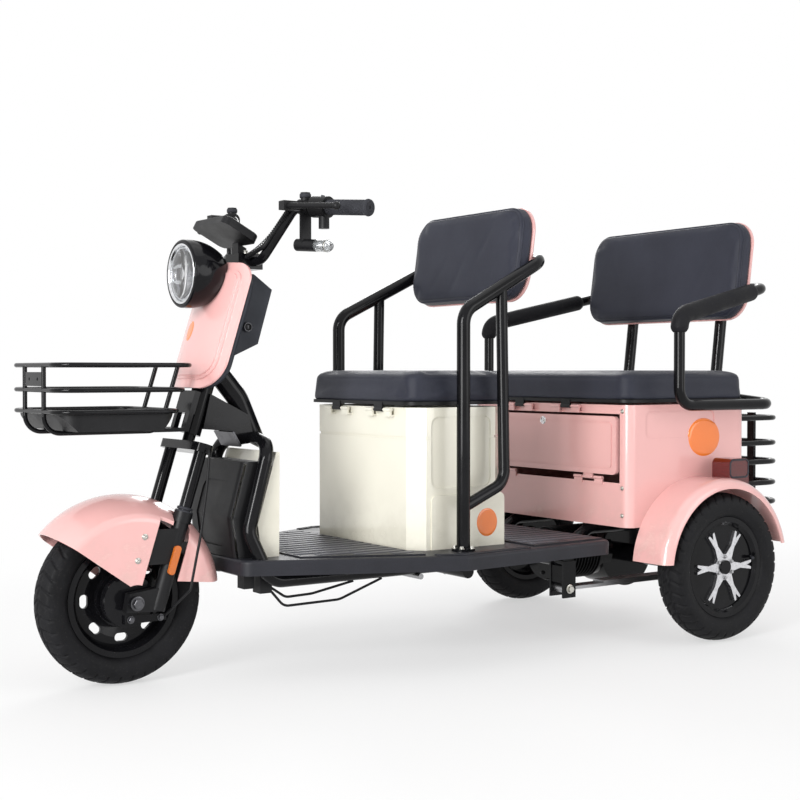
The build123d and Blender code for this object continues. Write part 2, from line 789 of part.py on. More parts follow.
# splash guard on the deck between the hoop tubes, and the panel behind it
guard_front = [(deck_front + 2, deck_top), (221, 364), (256, 487)]
guard_line = guard_front + [(300, 487), (276, 364), (276, deck_top)]
guard_void = [(deck_front + 7, deck_top - 5), (226, 364), (259, 482), (320, 482), (320, 364), (320, deck_top - 5)]
guard = side_profile(guard_line, -guard_half, guard_half)
guard = fillet(guard.faces().sort_by(Axis.Y)[0].edges().sort_by(Axis.X)[:2], 22)
guard = fillet(guard.faces().sort_by(Axis.Y)[-1].edges().sort_by(Axis.X)[:2], 22)
guard -= side_profile(guard_void, 5 - guard_half, guard_half - 5)
recess = side_profile([(200, 292), (200, 442), (246, 442), (224, 364), (234, 292)], -64, 64)
guard -= fillet(recess.edges().filter_by(Axis.X), 24)
save("splash_guard", guard - frame)
panel = side_profile([(294, deck_top), (338, deck_top), (340, 508), (331, 508), (283, 345)], -hoop_half, hoop_half)
save("leg_panel", panel - frame)


# deck and mats
def plan_at(x):
    if x < deck_wide_x:
        share = (x - deck_front) / (deck_wide_x - deck_front)
        return deck_front_half + share * (deck_wide_half - deck_front_half)
    share = (x - deck_wide_x) / (deck_rear - deck_wide_x)
    return deck_wide_half + share * (deck_rear_half - deck_wide_half)


def plan(xs, inset):
    points = [(x, inset - plan_at(x)) for x in xs]
    return make_face(Polyline(*points, *[(x, -y) for x, y in reversed(points)], close=True))


deck = extrude(Pos(0, 0, deck_low) * plan((deck_front, deck_wide_x, deck_rear), 0), deck_top - deck_low)
deck = fillet(deck.edges().filter_by(Axis.Z), deck_corner)
deck = fillet(deck.faces().sort_by(Axis.Z)[-1].edges(), deck_edge)
save("deck", deck - frame)
mats = [extrude(Pos(0, 0, deck_top) * plan(xs, mat_border), mat_thick)
        for xs in ((360, box_front - 15), (box_back + 20, deck_rear - 15))]
save("deck_mats", *mats)

# hinges: barrels on one pin line, each on a tab that runs back to its piece
hinge_out = hinge_radius + moving_gap
hinge_drop = 14.0
hinge_under = 6.0
lid_rise = hinge_under + moving_gap + lid_thick / 2
door_pin_drop = hinge_radius + moving_gap
fixed_spans = ((-150, -120), (-72, -42), (42, 72), (120, 150))
free_spans = ((-114, -78), (78, 114))
door_fixed_spans = ((-230, -200), (-152, -122), (122, 152), (200, 230))
door_free_spans = ((-194, -158), (158, 194))


def knuckles(x, z, spans, tab_back, tab_rise, pinned=False):
    ends = sorted(end for span in spans for end in span)
    whole = []
    for y0, y1 in spans:
        low, high = sorted((z, z + tab_rise))
        leaf = across(x, z, y0, y1, hinge_radius) + block(x - 2, x + 2, y0, y1, low, high)
        leaf += block(x - 2, tab_back, y0, y1, z + tab_rise - 2, z + tab_rise + 2)
        if not pinned:
            leaf -= across(x, z, y0 - 1, y1 + 1, pin_radius + running_gap)
        whole.append(leaf)
    if pinned:
        whole.append(across(x, z, ends[0], ends[3], pin_radius))
        whole.append(across(x, z, ends[4], ends[-1], pin_radius))
    return whole


# front seat box with cut corners, a waist crease, side recesses and foot panels
def seat_prism(inset, low, high):
    body = block(box_front + inset, box_back - inset, inset - box_half, box_half - inset, low, high)
    return chamfer(body.edges().filter_by(Axis.Z), box_corner - inset * 0.6)


seat_box = seat_prism(0, deck_top, box_top)
seat_box -= seat_prism(0, crease_z - 3, crease_z + 3) - seat_prism(crease_deep, crease_z - 4, crease_z + 4)
recess_front = box_front + box_corner + 14
recess_back = box_back - box_corner - 14
for sign in (-1, 1):
    hollow = block(recess_front, recess_back, -crease_deep, crease_deep, 415, box_top - 22)
    hollow = fillet(hollow.edges().filter_by(Axis.Y), 20)
    seat_box -= Pos(0, sign * box_half, 0) * hollow
    foot = block(recess_front, box_back - 8, -crease_deep, crease_deep, deck_top, 398)
    foot = fillet(foot.edges().filter_by(Axis.Y).sort_by(Axis.Z)[-2:], 14)
    seat_box += Pos(0, sign * box_half, 0) * foot
seat_box -= seat_prism(wall, deck_top + wall, box_top + 1)
seat_box += knuckles(box_front - hinge_out, box_top - hinge_under, fixed_spans, box_front + wall, -hinge_drop, True)
save("front_seat_box", seat_box)
battery_gap = 40.0
save("battery", block(box_front + battery_gap, box_back - battery_gap, -160, 160, deck_top + wall, 480))


def seat_plate(front, back, half_width, z):
    plate = block(front + 4, back - 4, 4 - half_width, half_width - 4, z, z + lid_thick)
    return fillet(plate.edges().filter_by(Axis.Z), cushion_corner - 4)


def seat_pad(front, back, half_width, z):
    pad = block(front, back, -half_width, half_width, z, z + cushion_thick)
    pad = fillet(pad.edges().filter_by(Axis.Z), cushion_corner)
    return fillet(pad.faces().sort_by(Axis.Z)[-1].edges(), cushion_edge)


lid_z = box_top + moving_gap
lid = seat_plate(cushion_front, cushion_back, cushion_half, lid_z)
lid += knuckles(box_front - hinge_out, box_top - hinge_under, free_spans, box_front + 20, lid_rise)
save("front_lid", lid)
save("front_cushion", seat_pad(cushion_front, cushion_back, cushion_half, lid_z + lid_thick))

# handrails round the front seat
handrail_x = front_rest_x + rest_deep + post_radius + 2
handrail = tube(
    [
        (post_front_x, -post_y, deck_top),
        (post_front_x, -post_y, handrail_knee_z),
        (handrail_x, -handrail_back_y, handrail_back_z),
        (handrail_x, handrail_back_y, handrail_back_z),
        (post_front_x, post_y, handrail_knee_z),
        (post_front_x, post_y, deck_top),
    ],
    post_radius, post_bend)
share = (post_rear_x - post_front_x) / (handrail_x - post_front_x)
meet_y = post_y + share * (handrail_back_y - post_y)
meet_z = handrail_knee_z + share * (handrail_back_z - handrail_knee_z)
for sign in (-1, 1):
    handrail += tube(
        [(post_rear_x, sign * meet_y, meet_z), (post_rear_x, sign * post_y, 425), (post_front_x, sign * post_y, 372)],
        post_radius - 2, 45)
    handrail += Pos(post_front_x, sign * post_y, deck_top + 3) * Cylinder(28, 6)
    handrail += front_plane * Pos(rest_deep + 15, sign * 150, -28) * Box(30, 40, 60)
save("handrails", handrail - front_shell)

# rear chest with drop door
door_x = chest_front - 2


def chest_prism(inset, low, high):
    body = block(chest_front + inset, chest_back - inset, inset - chest_half, chest_half - inset, low, high)
    return fillet(body.edges().filter_by(Axis.Z), chest_corner - inset)


chest = chest_prism(0, chest_low, chest_top) - chest_prism(wall, chest_low + wall, chest_top + 1)
chest -= block(chest_front - 5, chest_front + wall + 1, -door_half - moving_gap, door_half + moving_gap,
               door_low - door_pin_drop - hinge_radius - moving_gap, door_top + moving_gap)
for sign in (-1, 1):
    shelf = block(chest_front + 60, chest_back - 120, -groove_deep, groove_deep, 520, chest_top - 16)
    chest -= Pos(0, sign * chest_half, 0) * fillet(shelf.edges().filter_by(Axis.Y), 20)
chest += knuckles(chest_front - hinge_out, chest_top - hinge_under, fixed_spans, chest_front + wall, -hinge_drop, True)
chest += knuckles(door_x, door_low - door_pin_drop, door_fixed_spans, chest_front + wall, -hinge_drop, True)
save("rear_chest", chest)


def door_plate(inset, x0, x1):
    plate = block(x0, x1, inset - door_half, door_half - inset, door_low + inset, door_top - inset)
    return fillet(plate.edges().filter_by(Axis.X), door_corner - inset / 4)


door_face = door_x - door_thick / 2
door = door_plate(0, door_face, door_x + door_thick / 2)
groove = door_plate(groove_in, door_face - 1, door_face + groove_deep)
door -= groove - door_plate(groove_in + groove_wide, door_face - 2, door_face + groove_deep + 1)
door += knuckles(door_x, door_low - door_pin_drop, door_free_spans, door_x + door_thick / 2, door_pin_drop + 4)
save("chest_door", door)

bench_z = chest_top + moving_gap
bench = seat_plate(bench_front, bench_back, bench_half, bench_z)
bench += knuckles(chest_front - hinge_out, chest_top - hinge_under, free_spans, chest_front + 20, lid_rise)
save("rear_lid", bench)
save("rear_cushion", seat_pad(bench_front, bench_back, bench_half, bench_z + lid_thick))


# rear fenders turned about the rear axle, with a rounded outer edge
def arch_shell(depth, bore, inner):
    crown = arch_radius - depth
    out = arch_out - depth
    face = make_face(Polyline((bore, inner), (crown, inner), (crown, out), (bore, out), close=True))
    corner = face.vertices().sort_by(Axis.X)[-2:].sort_by(Axis.Y)[-1]
    return turned(fillet(corner, arch_round - depth), wheel_base, 0)


skin = arch_shell(0, arch_open, arch_in) - arch_shell(sheet, arch_open - 1, arch_in - 1)
skin -= block(wheel_base - 300, wheel_base, arch_in - 1, arch_out + 1, -200, arch_front_z)
skin -= block(wheel_base, wheel_base + 300, arch_in - 1, arch_out + 1, -200, arch_back_z)
save("rear_fenders", *both(skin))
tail_lamp = block(wheel_base + 26, wheel_base + 98, arch_in + 30, arch_in + 90, axle_height + 150, axle_height + 276)
tail_lamp = fillet(tail_lamp.edges().filter_by(Axis.Y).sort_by(Axis.Z)[-2:], 16)
save("tail_lamps", *both(tail_lamp - across(wheel_base, axle_height, arch_in, arch_out, arch_radius)))

# armrests
arms = tube(
    [
        (tail_post_x, -tail_post_y, arm_low_z + 20),
        (tail_post_x, -arm_y, arm_low_z),
        (arm_front_x, -arm_y, arm_low_z),
        (arm_front_x, -arm_y, arm_front_z),
        (arm_back_x, -arm_back_y, arm_back_z),
        (arm_back_x, arm_back_y, arm_back_z),
        (arm_front_x, arm_y, arm_front_z),
        (arm_front_x, arm_y, arm_low_z),
        (tail_post_x, arm_y, arm_low_z),
        (tail_post_x, tail_post_y, arm_low_z + 20),
    ],
    arm_radius, arm_bend)
save("armrests", arms - frame - rear_shell)
arm_pads = []
for sign in (-1, 1):
    knee = Vector(arm_front_x, sign * arm_y, arm_front_z)
    back = Vector(arm_back_x, sign * arm_back_y, arm_back_z)
    sleeve = tube([tuple(knee - Vector(0, 0, 42)), tuple(knee), tuple(knee + (back - knee) * pad_share)], arm_pad, arm_bend)
    arm_pads.append(sleeve - arms)
save("armrest_pads", *arm_pads)

# rear rack
rack = None
for z in rack_heights:
    hoop = tube(
        [(chest_back + 4, -rack_half, z), (rack_back, -rack_half, z), (rack_back, rack_half, z),
         (chest_back + 4, rack_half, z)],
        rack_bar, 60)
    rack = hoop if rack is None else rack + hoop
for y in (-180, 0, 180):
    rack += block(rack_back - 12, rack_back - 3, y - 12, y + 12, rack_heights[0] - 12, rack_heights[-1] + 12)
for sign in (-1, 1):
    low, high = sorted((sign * (rack_half - 26), sign * (rack_half + 10)))
    rack += block(chest_back, chest_back + 5, low, high, rack_heights[0] - 20, rack_heights[-1] + 20)
save("rear_rack", rack)

# rear axle, motor and springs
tube_end = rear_y - 48
axle = across(wheel_base, axle_height, -tube_end, tube_end, axle_tube)
axle += across(wheel_base, axle_height, -60, 60, gear_radius)
for sign in (-1, 1):
    axle += across(wheel_base, axle_height, sign * (tube_end - 30), sign * (tube_end - 10), drum_plate)
    axle += block(wheel_base - 34, wheel_base + 34, sign * spring_y - spring_half, sign * spring_y + spring_half,
                  spring_z + 10, axle_height)
    axle -= across(wheel_base, axle_height, sign * (rear_y - stub_long - 1), sign * rear_y, stub_radius + running_gap)
motor = rod((wheel_base - gear_radius - motor_long, 0, axle_height + 8), (wheel_base - 60, 0, axle_height + 8), motor_radius)
axle += motor
save("rear_axle", axle)
leaves = []
for sign in (-1, 1):
    y0 = sign * spring_y - spring_half
    y1 = sign * spring_y + spring_half
    leaf = block(spring_front_x, spring_back_x, y0, y1, spring_z - 4, spring_z + 4)
    leaf += block(spring_front_x + 120, spring_back_x - 80, y0, y1, spring_z + 4, spring_z + 10)
    leaf += across(spring_front_x, spring_z, y0 - 1, y1 + 1, eye_radius)
    leaf += across(spring_back_x, spring_z, y0 - 1, y1 + 1, eye_radius)
    leaves.append(leaf - axle)
save("leaf_springs", *leaves)

# brake shaft, switch boxes and brake cables under the deck
rail_low = rail_z - rail_radius
shaft = across(post_front_x - 45, rail_low - 4, -rail_y - 20, rail_y + 20, 7)
save("brake_shaft", shaft - frame)
boxes = []
for x0, x1, y0, y1, drop in ((250, 276, -118, -86, 34), (286, 316, -128, -92, 46)):
    boxes.append(block(x0, x1, y0, y1, deck_low - drop, deck_low) - frame)
save("switch_boxes", *boxes)
cables = []
for y, sag, end in ((-104, 62, 600), (-112, 40, 520)):
    cable = tube([(312, y, deck_low - 30), (360, y, rail_low + 10 - sag), (end - 90, y, rail_low + 12 - sag), (end, -rail_y, rail_low - 1)],
                 cable_radius, 30)
    cables.append(cable - boxes - frame)
save("rear_brake_cables", *cables)
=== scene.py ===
import bpy
import bmesh
import json
from math import acos, atan2, copysign, cos, exp, hypot, pi, radians, sin, tan
from mathutils import Vector, Matrix
from mathutils.bvhtree import BVHTree

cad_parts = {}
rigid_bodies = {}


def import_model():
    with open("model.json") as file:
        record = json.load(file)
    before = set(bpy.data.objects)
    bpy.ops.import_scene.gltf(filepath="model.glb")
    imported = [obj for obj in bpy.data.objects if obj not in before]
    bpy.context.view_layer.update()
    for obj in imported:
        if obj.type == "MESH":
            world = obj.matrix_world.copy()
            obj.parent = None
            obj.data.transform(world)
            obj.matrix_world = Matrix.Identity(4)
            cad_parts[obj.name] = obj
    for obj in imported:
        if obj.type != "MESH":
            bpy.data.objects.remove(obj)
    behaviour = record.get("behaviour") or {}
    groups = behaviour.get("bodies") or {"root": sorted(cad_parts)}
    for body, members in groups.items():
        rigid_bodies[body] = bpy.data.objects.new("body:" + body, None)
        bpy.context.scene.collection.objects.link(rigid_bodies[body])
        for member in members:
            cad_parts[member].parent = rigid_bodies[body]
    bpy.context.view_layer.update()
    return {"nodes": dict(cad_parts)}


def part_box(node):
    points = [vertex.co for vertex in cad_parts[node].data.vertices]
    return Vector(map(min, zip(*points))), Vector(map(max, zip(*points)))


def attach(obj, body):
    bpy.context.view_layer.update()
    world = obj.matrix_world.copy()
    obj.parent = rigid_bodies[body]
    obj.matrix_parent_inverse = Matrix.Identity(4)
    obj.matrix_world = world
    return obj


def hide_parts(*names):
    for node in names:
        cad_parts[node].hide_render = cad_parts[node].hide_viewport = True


for obj in list(bpy.data.objects):  # an empty stage first
    bpy.data.objects.remove(obj)
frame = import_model()
nodes = frame["nodes"]
midX = 0.831  # the front axle stands this far ahead of the middle
print("frame loaded,", len(nodes), "nodes")


def at(x, y, z):
    # millimetres from the front axle, as the vehicle is drawn
    return Vector((x / 1000 - midX, y / 1000, z / 1000))


# small helpers for shader trees
def newMaterial(name, **values):
    mat = bpy.data.materials.new(name)
    mat.use_nodes = True
    shader = mat.node_tree.nodes["Principled BSDF"]
    for key, value in values.items():
        shader.inputs[key].default_value = value
    return mat, mat.node_tree, shader


def put(tree, kind, inputs=None, **props):
    node = tree.nodes.new("ShaderNode" + kind)
    for key, value in props.items():
        setattr(node, key, value)
    for key, value in (inputs or {}).items():
        if isinstance(value, bpy.types.NodeSocket):
            tree.links.new(value, node.inputs[key])
        else:
            node.inputs[key].default_value = value
    return node


def coords(tree, scale=(1, 1, 1)):
    source = put(tree, "TexCoord").outputs["Object"]
    if scale == (1, 1, 1):
        return source
    return put(tree, "Mapping", {"Vector": source, "Scale": scale}).outputs["Vector"]


def noise(tree, vector, scale, detail=4.0, rough=0.55):
    inputs = {"Vector": vector, "Scale": scale, "Detail": detail, "Roughness": rough}
    return put(tree, "TexNoise", inputs).outputs["Fac"]


def cells(tree, vector, scale, spread, **how):
    inputs = {"Vector": vector, "Scale": scale, "Randomness": spread}
    return put(tree, "TexVoronoi", inputs, **how).outputs["Distance"]


def ramp(tree, value, low, high, outLow=0.0, outHigh=1.0, **how):
    inputs = {"Value": value, "From Min": low, "From Max": high, "To Min": outLow, "To Max": outHigh}
    return put(tree, "MapRange", inputs, **how).outputs["Result"]


def maths(tree, how, a, b=0.0):
    return put(tree, "Math", {0: a, 1: b}, operation=how).outputs[0]


def mixColour(tree, factor, a, b):
    return put(tree, "Mix", {0: factor, 6: a, 7: b}, data_type="RGBA").outputs[2]


def bump(tree, height, strength, distance, under=None):
    inputs = {"Height": height, "Strength": strength, "Distance": distance}
    if under is not None:
        inputs["Normal"] = under
    return put(tree, "Bump", inputs).outputs["Normal"]


def dress(mat, tint, rough, normal):
    tree = mat.node_tree
    for key, socket in (("Base Color", tint), ("Roughness", rough), ("Normal", normal)):
        tree.links.new(socket, tree.nodes["Principled BSDF"].inputs[key])
    return mat


def shade(colour, by):
    return (colour[0] * by, colour[1] * by, colour[2] * by, 1.0)


def height(tree):
    return put(tree, "SeparateXYZ", {0: coords(tree)}).outputs["Z"]


# moulded gloss panels: soft colour drift, flow ripple, fine polishing marks and road dust low down
def glossPanel(name, colour, dust):
    mat, tree, _ = newMaterial(name, **{"Coat Weight": 0.6, "Coat Roughness": 0.06, "IOR": 1.48})
    place = coords(tree)
    drift = ramp(tree, noise(tree, place, 3.5, 3), 0.3, 0.7)
    tint = mixColour(tree, drift, shade(colour, 0.965), shade(colour, 1.02))
    speck = ramp(tree, noise(tree, place, 420, 2), 0.68, 0.8, 0, 0.35)
    tint = mixColour(tree, speck, tint, shade(colour, 0.86))
    low = ramp(tree, height(tree), 0.42, 0.16, 0, 0.5)
    low = maths(tree, "MULTIPLY", low, ramp(tree, noise(tree, place, 26, 6), 0.42, 0.75))
    tint = mixColour(tree, low, tint, dust)
    marks = noise(tree, coords(tree, (40, 40, 900)), 1.0, 3)
    rough = ramp(tree, marks, 0.3, 0.7, 0.2, 0.235)
    rough = maths(tree, "ADD", rough, maths(tree, "MULTIPLY", low, 0.4))
    ripple = bump(tree, noise(tree, place, 55, 2), 0.05, 0.004)
    return dress(mat, tint, rough, bump(tree, noise(tree, place, 900, 2), 0.05, 0.0004, ripple))


# moulded grain plastic: pebbles with worn, shinier tops
def grainPlastic(name, colour, scale, rough, lift):
    mat, tree, _ = newMaterial(name, **{"Specular IOR Level": 0.22})
    place = coords(tree)
    pebble = cells(tree, place, scale, 0.95, feature="SMOOTH_F1")
    wear = ramp(tree, noise(tree, place, 9, 5), 0.35, 0.7)
    tint = mixColour(tree, wear, shade(colour, 0.82), shade(colour, 1.22))
    tint = mixColour(tree, ramp(tree, pebble, 0.15, 0.6, 0, 0.45), tint, shade(colour, 0.6))
    rough = ramp(tree, wear, 0, 1, rough + 0.1, rough - 0.06)
    return dress(mat, tint, rough, bump(tree, pebble, lift, 0.0008))


# stove-enamelled tube: orange-peel skin under a clear gloss, slight dulling where hands go
def tubeEnamel(name, colour):
    mat, tree, _ = newMaterial(name, **{"Coat Weight": 0.18, "Coat Roughness": 0.05, "Specular IOR Level": 0.09})
    place = coords(tree)
    drift = ramp(tree, noise(tree, place, 12, 5), 0.35, 0.7)
    tint = mixColour(tree, drift, shade(colour, 0.7), shade(colour, 1.5))
    chips = ramp(tree, noise(tree, place, 160, 6, 0.7), 0.745, 0.775, 0, 0.7)
    tint = mixColour(tree, chips, tint, (0.16, 0.155, 0.15, 1))
    dull = ramp(tree, noise(tree, place, 18, 4), 0.35, 0.75, 0.1, 0.22)
    return dress(mat, tint, dull, bump(tree, noise(tree, place, 330, 2), 0.08, 0.0008))


# coated upholstery fabric: leather-like pores and fine creases
def seatVinyl(name, colour):
    mat, tree, _ = newMaterial(name, **{"Specular IOR Level": 0.18, "Sheen Weight": 0.06, "Sheen Roughness": 0.4})
    place = coords(tree)
    lines = ramp(tree, cells(tree, place, 420.0, 1.0, feature="DISTANCE_TO_EDGE"), 0.0, 0.14)
    patch = ramp(tree, noise(tree, place, 7, 5), 0.3, 0.72)
    tint = mixColour(tree, patch, shade(colour, 0.88), shade(colour, 1.14))
    tint = mixColour(tree, ramp(tree, lines, 0, 1, 0.45, 0), tint, shade(colour, 0.55))
    soft = bump(tree, noise(tree, place, 38, 5, 0.6), 0.1, 0.004)
    return dress(mat, tint, ramp(tree, patch, 0, 1, 0.5, 0.4), bump(tree, lines, 0.25, 0.0006, soft))


# tyre and other rubber: chalky bloom, specks of dust and a fine grain
def rubberSkin(name, colour, bloom):
    mat, tree, _ = newMaterial(name, **{"Specular IOR Level": 0.13})
    place = coords(tree)
    chalk = ramp(tree, noise(tree, place, 16, 7, 0.65), 0.38, 0.74)
    tint = mixColour(tree, chalk, shade(colour, 0.75), shade(colour, bloom))
    dust = ramp(tree, noise(tree, place, 260, 4), 0.6, 0.78, 0, 0.14)
    tint = mixColour(tree, dust, tint, (0.16, 0.15, 0.135, 1))
    grain = bump(tree, noise(tree, place, 700, 3), 0.22, 0.0006)
    return dress(mat, tint, ramp(tree, chalk, 0, 1, 0.52, 0.78), grain)


# bare or silver metal, drawn in one direction
def drawnMetal(name, colour, stretch, rough):
    mat, tree, _ = newMaterial(name, Metallic=1.0)
    lines = noise(tree, coords(tree, stretch), 1.0, 3, 0.7)
    tint = mixColour(tree, ramp(tree, lines, 0.3, 0.7), shade(colour, 0.84), shade(colour, 1.06))
    grime = ramp(tree, noise(tree, coords(tree), 30, 6, 0.65), 0.52, 0.78, 0, 0.5)
    tint = mixColour(tree, grime, tint, shade(colour, 0.5))
    rough = ramp(tree, lines, 0.3, 0.7, rough - 0.06, rough + 0.08)
    rough = maths(tree, "ADD", rough, maths(tree, "MULTIPLY", grime, 0.25))
    return dress(mat, tint, rough, bump(tree, lines, 0.06, 0.0006))


# lamp covers, with the cells of a reflector pattern behind the skin
def lampPlastic(name, colour, cell, clear, haze=0.06, lift=0.3):
    mat, tree, _ = newMaterial(name, **{"IOR": 1.49, "Transmission Weight": clear, "Coat Weight": 0.5,
                                        "Coat Roughness": 0.04})
    place = coords(tree)
    grid = cells(tree, place, cell, 0.0, feature="F1", distance="CHEBYCHEV")
    tint = mixColour(tree, ramp(tree, grid, 0.1, 0.5), shade(colour, 1.1), shade(colour, 0.72))
    rough = ramp(tree, noise(tree, place, 45, 4), 0.35, 0.7, haze, haze * 2.6)
    return dress(mat, tint, rough, bump(tree, grid, lift, 0.0012))


# ribbed floor mat rubber with scuffs along the ribs
def matRubber(name, colour):
    mat, tree, _ = newMaterial(name, IOR=1.45)
    scuff = ramp(tree, noise(tree, coords(tree, (6, 60, 60)), 1.0, 6, 0.65), 0.45, 0.75)
    tint = mixColour(tree, scuff, shade(colour, 0.75), shade(colour, 1.45))
    grain = bump(tree, noise(tree, coords(tree), 800, 3), 0.25, 0.0005)
    return dress(mat, tint, ramp(tree, scuff, 0, 1, 0.42, 0.58), grain)


finish = {
    "pink": glossPanel("pinkPanel", (0.735, 0.405, 0.388), (0.42, 0.36, 0.31, 1)),
    "cream": glossPanel("creamPanel", (0.74, 0.715, 0.61), (0.40, 0.36, 0.29, 1)),
    "enamel": tubeEnamel("blackEnamel", (0.0042, 0.0042, 0.005)),
    "darkGrey": grainPlastic("darkGreyPlastic", (0.029, 0.032, 0.041), 900, 0.46, 0.18),
    "deckGrey": grainPlastic("deckPlastic", (0.021, 0.0215, 0.027), 650, 0.36, 0.3),
    "black": grainPlastic("blackPlastic", (0.0075, 0.0075, 0.0085), 1100, 0.4, 0.15),
    "gloss": tubeEnamel("lampGloss", (0.0045, 0.0045, 0.0055)),
    "vinyl": seatVinyl("seatVinyl", (0.027, 0.029, 0.042)),
    "tyre": rubberSkin("tyreRubber", (0.0075, 0.0075, 0.0085), 1.7),
    "rubber": rubberSkin("gripRubber", (0.034, 0.035, 0.041), 1.35),
    "foam": rubberSkin("padFoam", (0.011, 0.011, 0.013), 1.25),
    "rim": tubeEnamel("rimEnamel", (0.0042, 0.0042, 0.005)),
    "silver": drawnMetal("starSilver", (0.66, 0.66, 0.68), (160, 160, 160), 0.3),
    "steel": drawnMetal("plainSteel", (0.42, 0.42, 0.43), (60, 900, 900), 0.34),
    "zinc": drawnMetal("zincPlate", (0.55, 0.54, 0.50), (220, 220, 220), 0.3),
    "chrome": drawnMetal("lampChrome", (0.82, 0.83, 0.85), (90, 90, 90), 0.12),
    "gunmetal": drawnMetal("darkPlate", (0.11, 0.11, 0.118), (220, 220, 220), 0.32),
    "bowl": drawnMetal("lampBowlMetal", (0.34, 0.35, 0.38), (90, 90, 90), 0.14),
    "lens": lampPlastic("lampLens", (0.97, 0.98, 0.99), 90, 1.0, 0.012, 0.02),
    "glass": lampPlastic("clearCover", (0.93, 0.95, 0.96), 240, 0.85),
    "amber": lampPlastic("amberReflector", (0.64, 0.15, 0.012), 380, 0.0),
    "red": lampPlastic("redCover", (0.11, 0.006, 0.006), 260, 0.15),
    # the ribs' grey is set lighter than the mats under them: partly the rubber's own tone, partly a painted sheen
    # standing in for the light their tops reflect at a low angle
    "mat": matRubber("matRubber", (0.066, 0.068, 0.082)),
    "case": grainPlastic("batteryCase", (0.02, 0.026, 0.04), 500, 0.5, 0.2),
}
print("finishes ready,", len(finish))

nodeFinish = {
    "pink": "front_shield front_fender rear_chest rear_fenders chest_door front_backrest_shell rear_backrest_shell",
    "cream": "front_seat_box leg_panel",
    "enamel": "frame basket handrails armrests rear_rack fork handlebar rear_axle",
    "darkGrey": "column_cover",
    "deckGrey": "deck deck_mats",
    "black": "fork_sliders splash_guard basket_tray front_lid rear_lid bar_controls turn_lamps dash switch_boxes "
             "front_brake_cable bar_loom rear_brake_cables",
    "gloss": "headlight_shell",
    "vinyl": "front_cushion rear_cushion front_backrest rear_backrest",
    "tyre": "front_tyre rear_left_tyre rear_right_tyre",
    "rubber": "grips",
    "foam": "armrest_pads",
    "rim": "front_rim rear_left_rim rear_right_rim front_axle",
    "silver": "rear_left_star rear_right_star",
    "steel": "leaf_springs brake_shaft",
    "gunmetal": "neck_plate",
    "glass": "headlight_lens turn_lenses",
    "amber": "fork_reflectors",
    "red": "tail_lamps",
    "case": "battery",
}
for key, names in nodeFinish.items():
    for name in names.split():
        slots = nodes[name].material_slots
        for slot in slots:
            slot.material = finish[key]
        if not slots:
            nodes[name].data.materials.append(finish[key])
print("CAD nodes finished")


# mesh helpers
def newObject(name, data):
    obj = bpy.data.objects.new(name, data)
    bpy.context.scene.collection.objects.link(obj)
    return obj


def meshObject(name, bm):
    bmesh.ops.recalc_face_normals(bm, faces=bm.faces)
    mesh = bpy.data.meshes.new(name)
    bm.to_mesh(mesh)
    bm.free()
    return newObject(name, mesh)


def settle(obj, key, body, smooth=True):
    obj.data.materials.clear()
    obj.data.materials.append(finish[key])
    for face in obj.data.polygons:
        face.use_smooth = smooth
    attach(obj, body)


def fromBmesh(name, bm, key, body, smooth=True):
    obj = meshObject(name, bm)
    settle(obj, key, body, smooth)
    return obj


def bridge(bm, rings, closed=False, foot=True):
    # faces between neighbouring loops of vertices, with ends unless the last joins the first
    count = len(rings[0])
    for here, there in zip(rings, rings[1:] + ([rings[0]] if closed else [])):
        for k in range(count):
            j = (k + 1) % count
            bm.faces.new((here[k], here[j], there[j], there[k]))
    if not closed:
        if foot:
            bm.faces.new(list(reversed(rings[0])))
        bm.faces.new(rings[-1])


def lathe(bm, profile, steps, where=Matrix.Identity(4), closed=False, turn=None):
    # (radius, along) pairs turned about local Z; turn gives the pairs by angle
    rings = []
    for k in range(steps):
        a = 2 * pi * k / steps
        points = turn(a) if turn else profile
        rings.append([bm.verts.new(where @ Vector((r * cos(a), r * sin(a), h))) for r, h in points])
    count = len(rings[0])
    for here, there in zip(rings, rings[1:] + rings[:1]):
        for i in range(count if closed else count - 1):
            j = (i + 1) % count
            bm.faces.new((here[i], there[i], there[j], here[j]))
    if closed:
        return
    if profile[0][0] > 1e-6:
        bm.faces.new([ring[0] for ring in reversed(rings)])
    if profile[-1][0] > 1e-6:
        bm.faces.new([ring[-1] for ring in rings])
    bmesh.ops.remove_doubles(bm, verts=bm.verts, dist=1e-7)


def turned(name, key, body, where, steps, profile, closed=True, turn=None):
    bm = bmesh.new()
    lathe(bm, profile, steps, where, closed, turn)
    return fromBmesh(name, bm, key, body)


def aim(place, way):
    # a frame at place whose Z points along way
    return Matrix.Translation(place) @ Vector(way).normalized().to_track_quat("Z", "Y").to_matrix().to_4x4()


def screwInto(bm, where, radius, high, kind="hex"):
    # washer and a hex head, or a domed head with a cross
    def part(rows, sides):
        lathe(bm, [(radius * r, high * h) for r, h in rows], sides, where)

    part(((1.35, 0), (1.35, 0.22), (1.2, 0.28), (0.9, 0.28)), 20)
    if kind == "hex":
        part(((1, 0.26), (1, 0.9), (0.86, 1), (0.3, 1)), 6)
    else:
        part(((1, 0.26), (0.97, 0.55), (0.7, 0.88), (0.34, 1), (0.3, 0.72), (0, 0.7)), 16)


def tubeAlong(bm, path, radius, sides=12, closed=False):
    # a round tube through a list of points
    count = len(path)
    up = Vector((0.11, 0.23, 0.97)).normalized()
    turns = [2 * pi * s / sides for s in range(sides)]
    rings = []
    for k, point in enumerate(path):
        before = path[(k - 1) % count] if closed or k else point
        after = path[(k + 1) % count] if closed or k < count - 1 else point
        way = (Vector(after) - Vector(before)).normalized()
        side = way.cross(up)
        side = side.normalized() if side.length > 1e-5 else way.orthogonal().normalized()
        up = side.cross(way).normalized()
        spokes = [cos(a) * side + sin(a) * up for a in turns]
        rings.append([bm.verts.new(Vector(point) + radius * spoke) for spoke in spokes])
    bridge(bm, rings, closed)


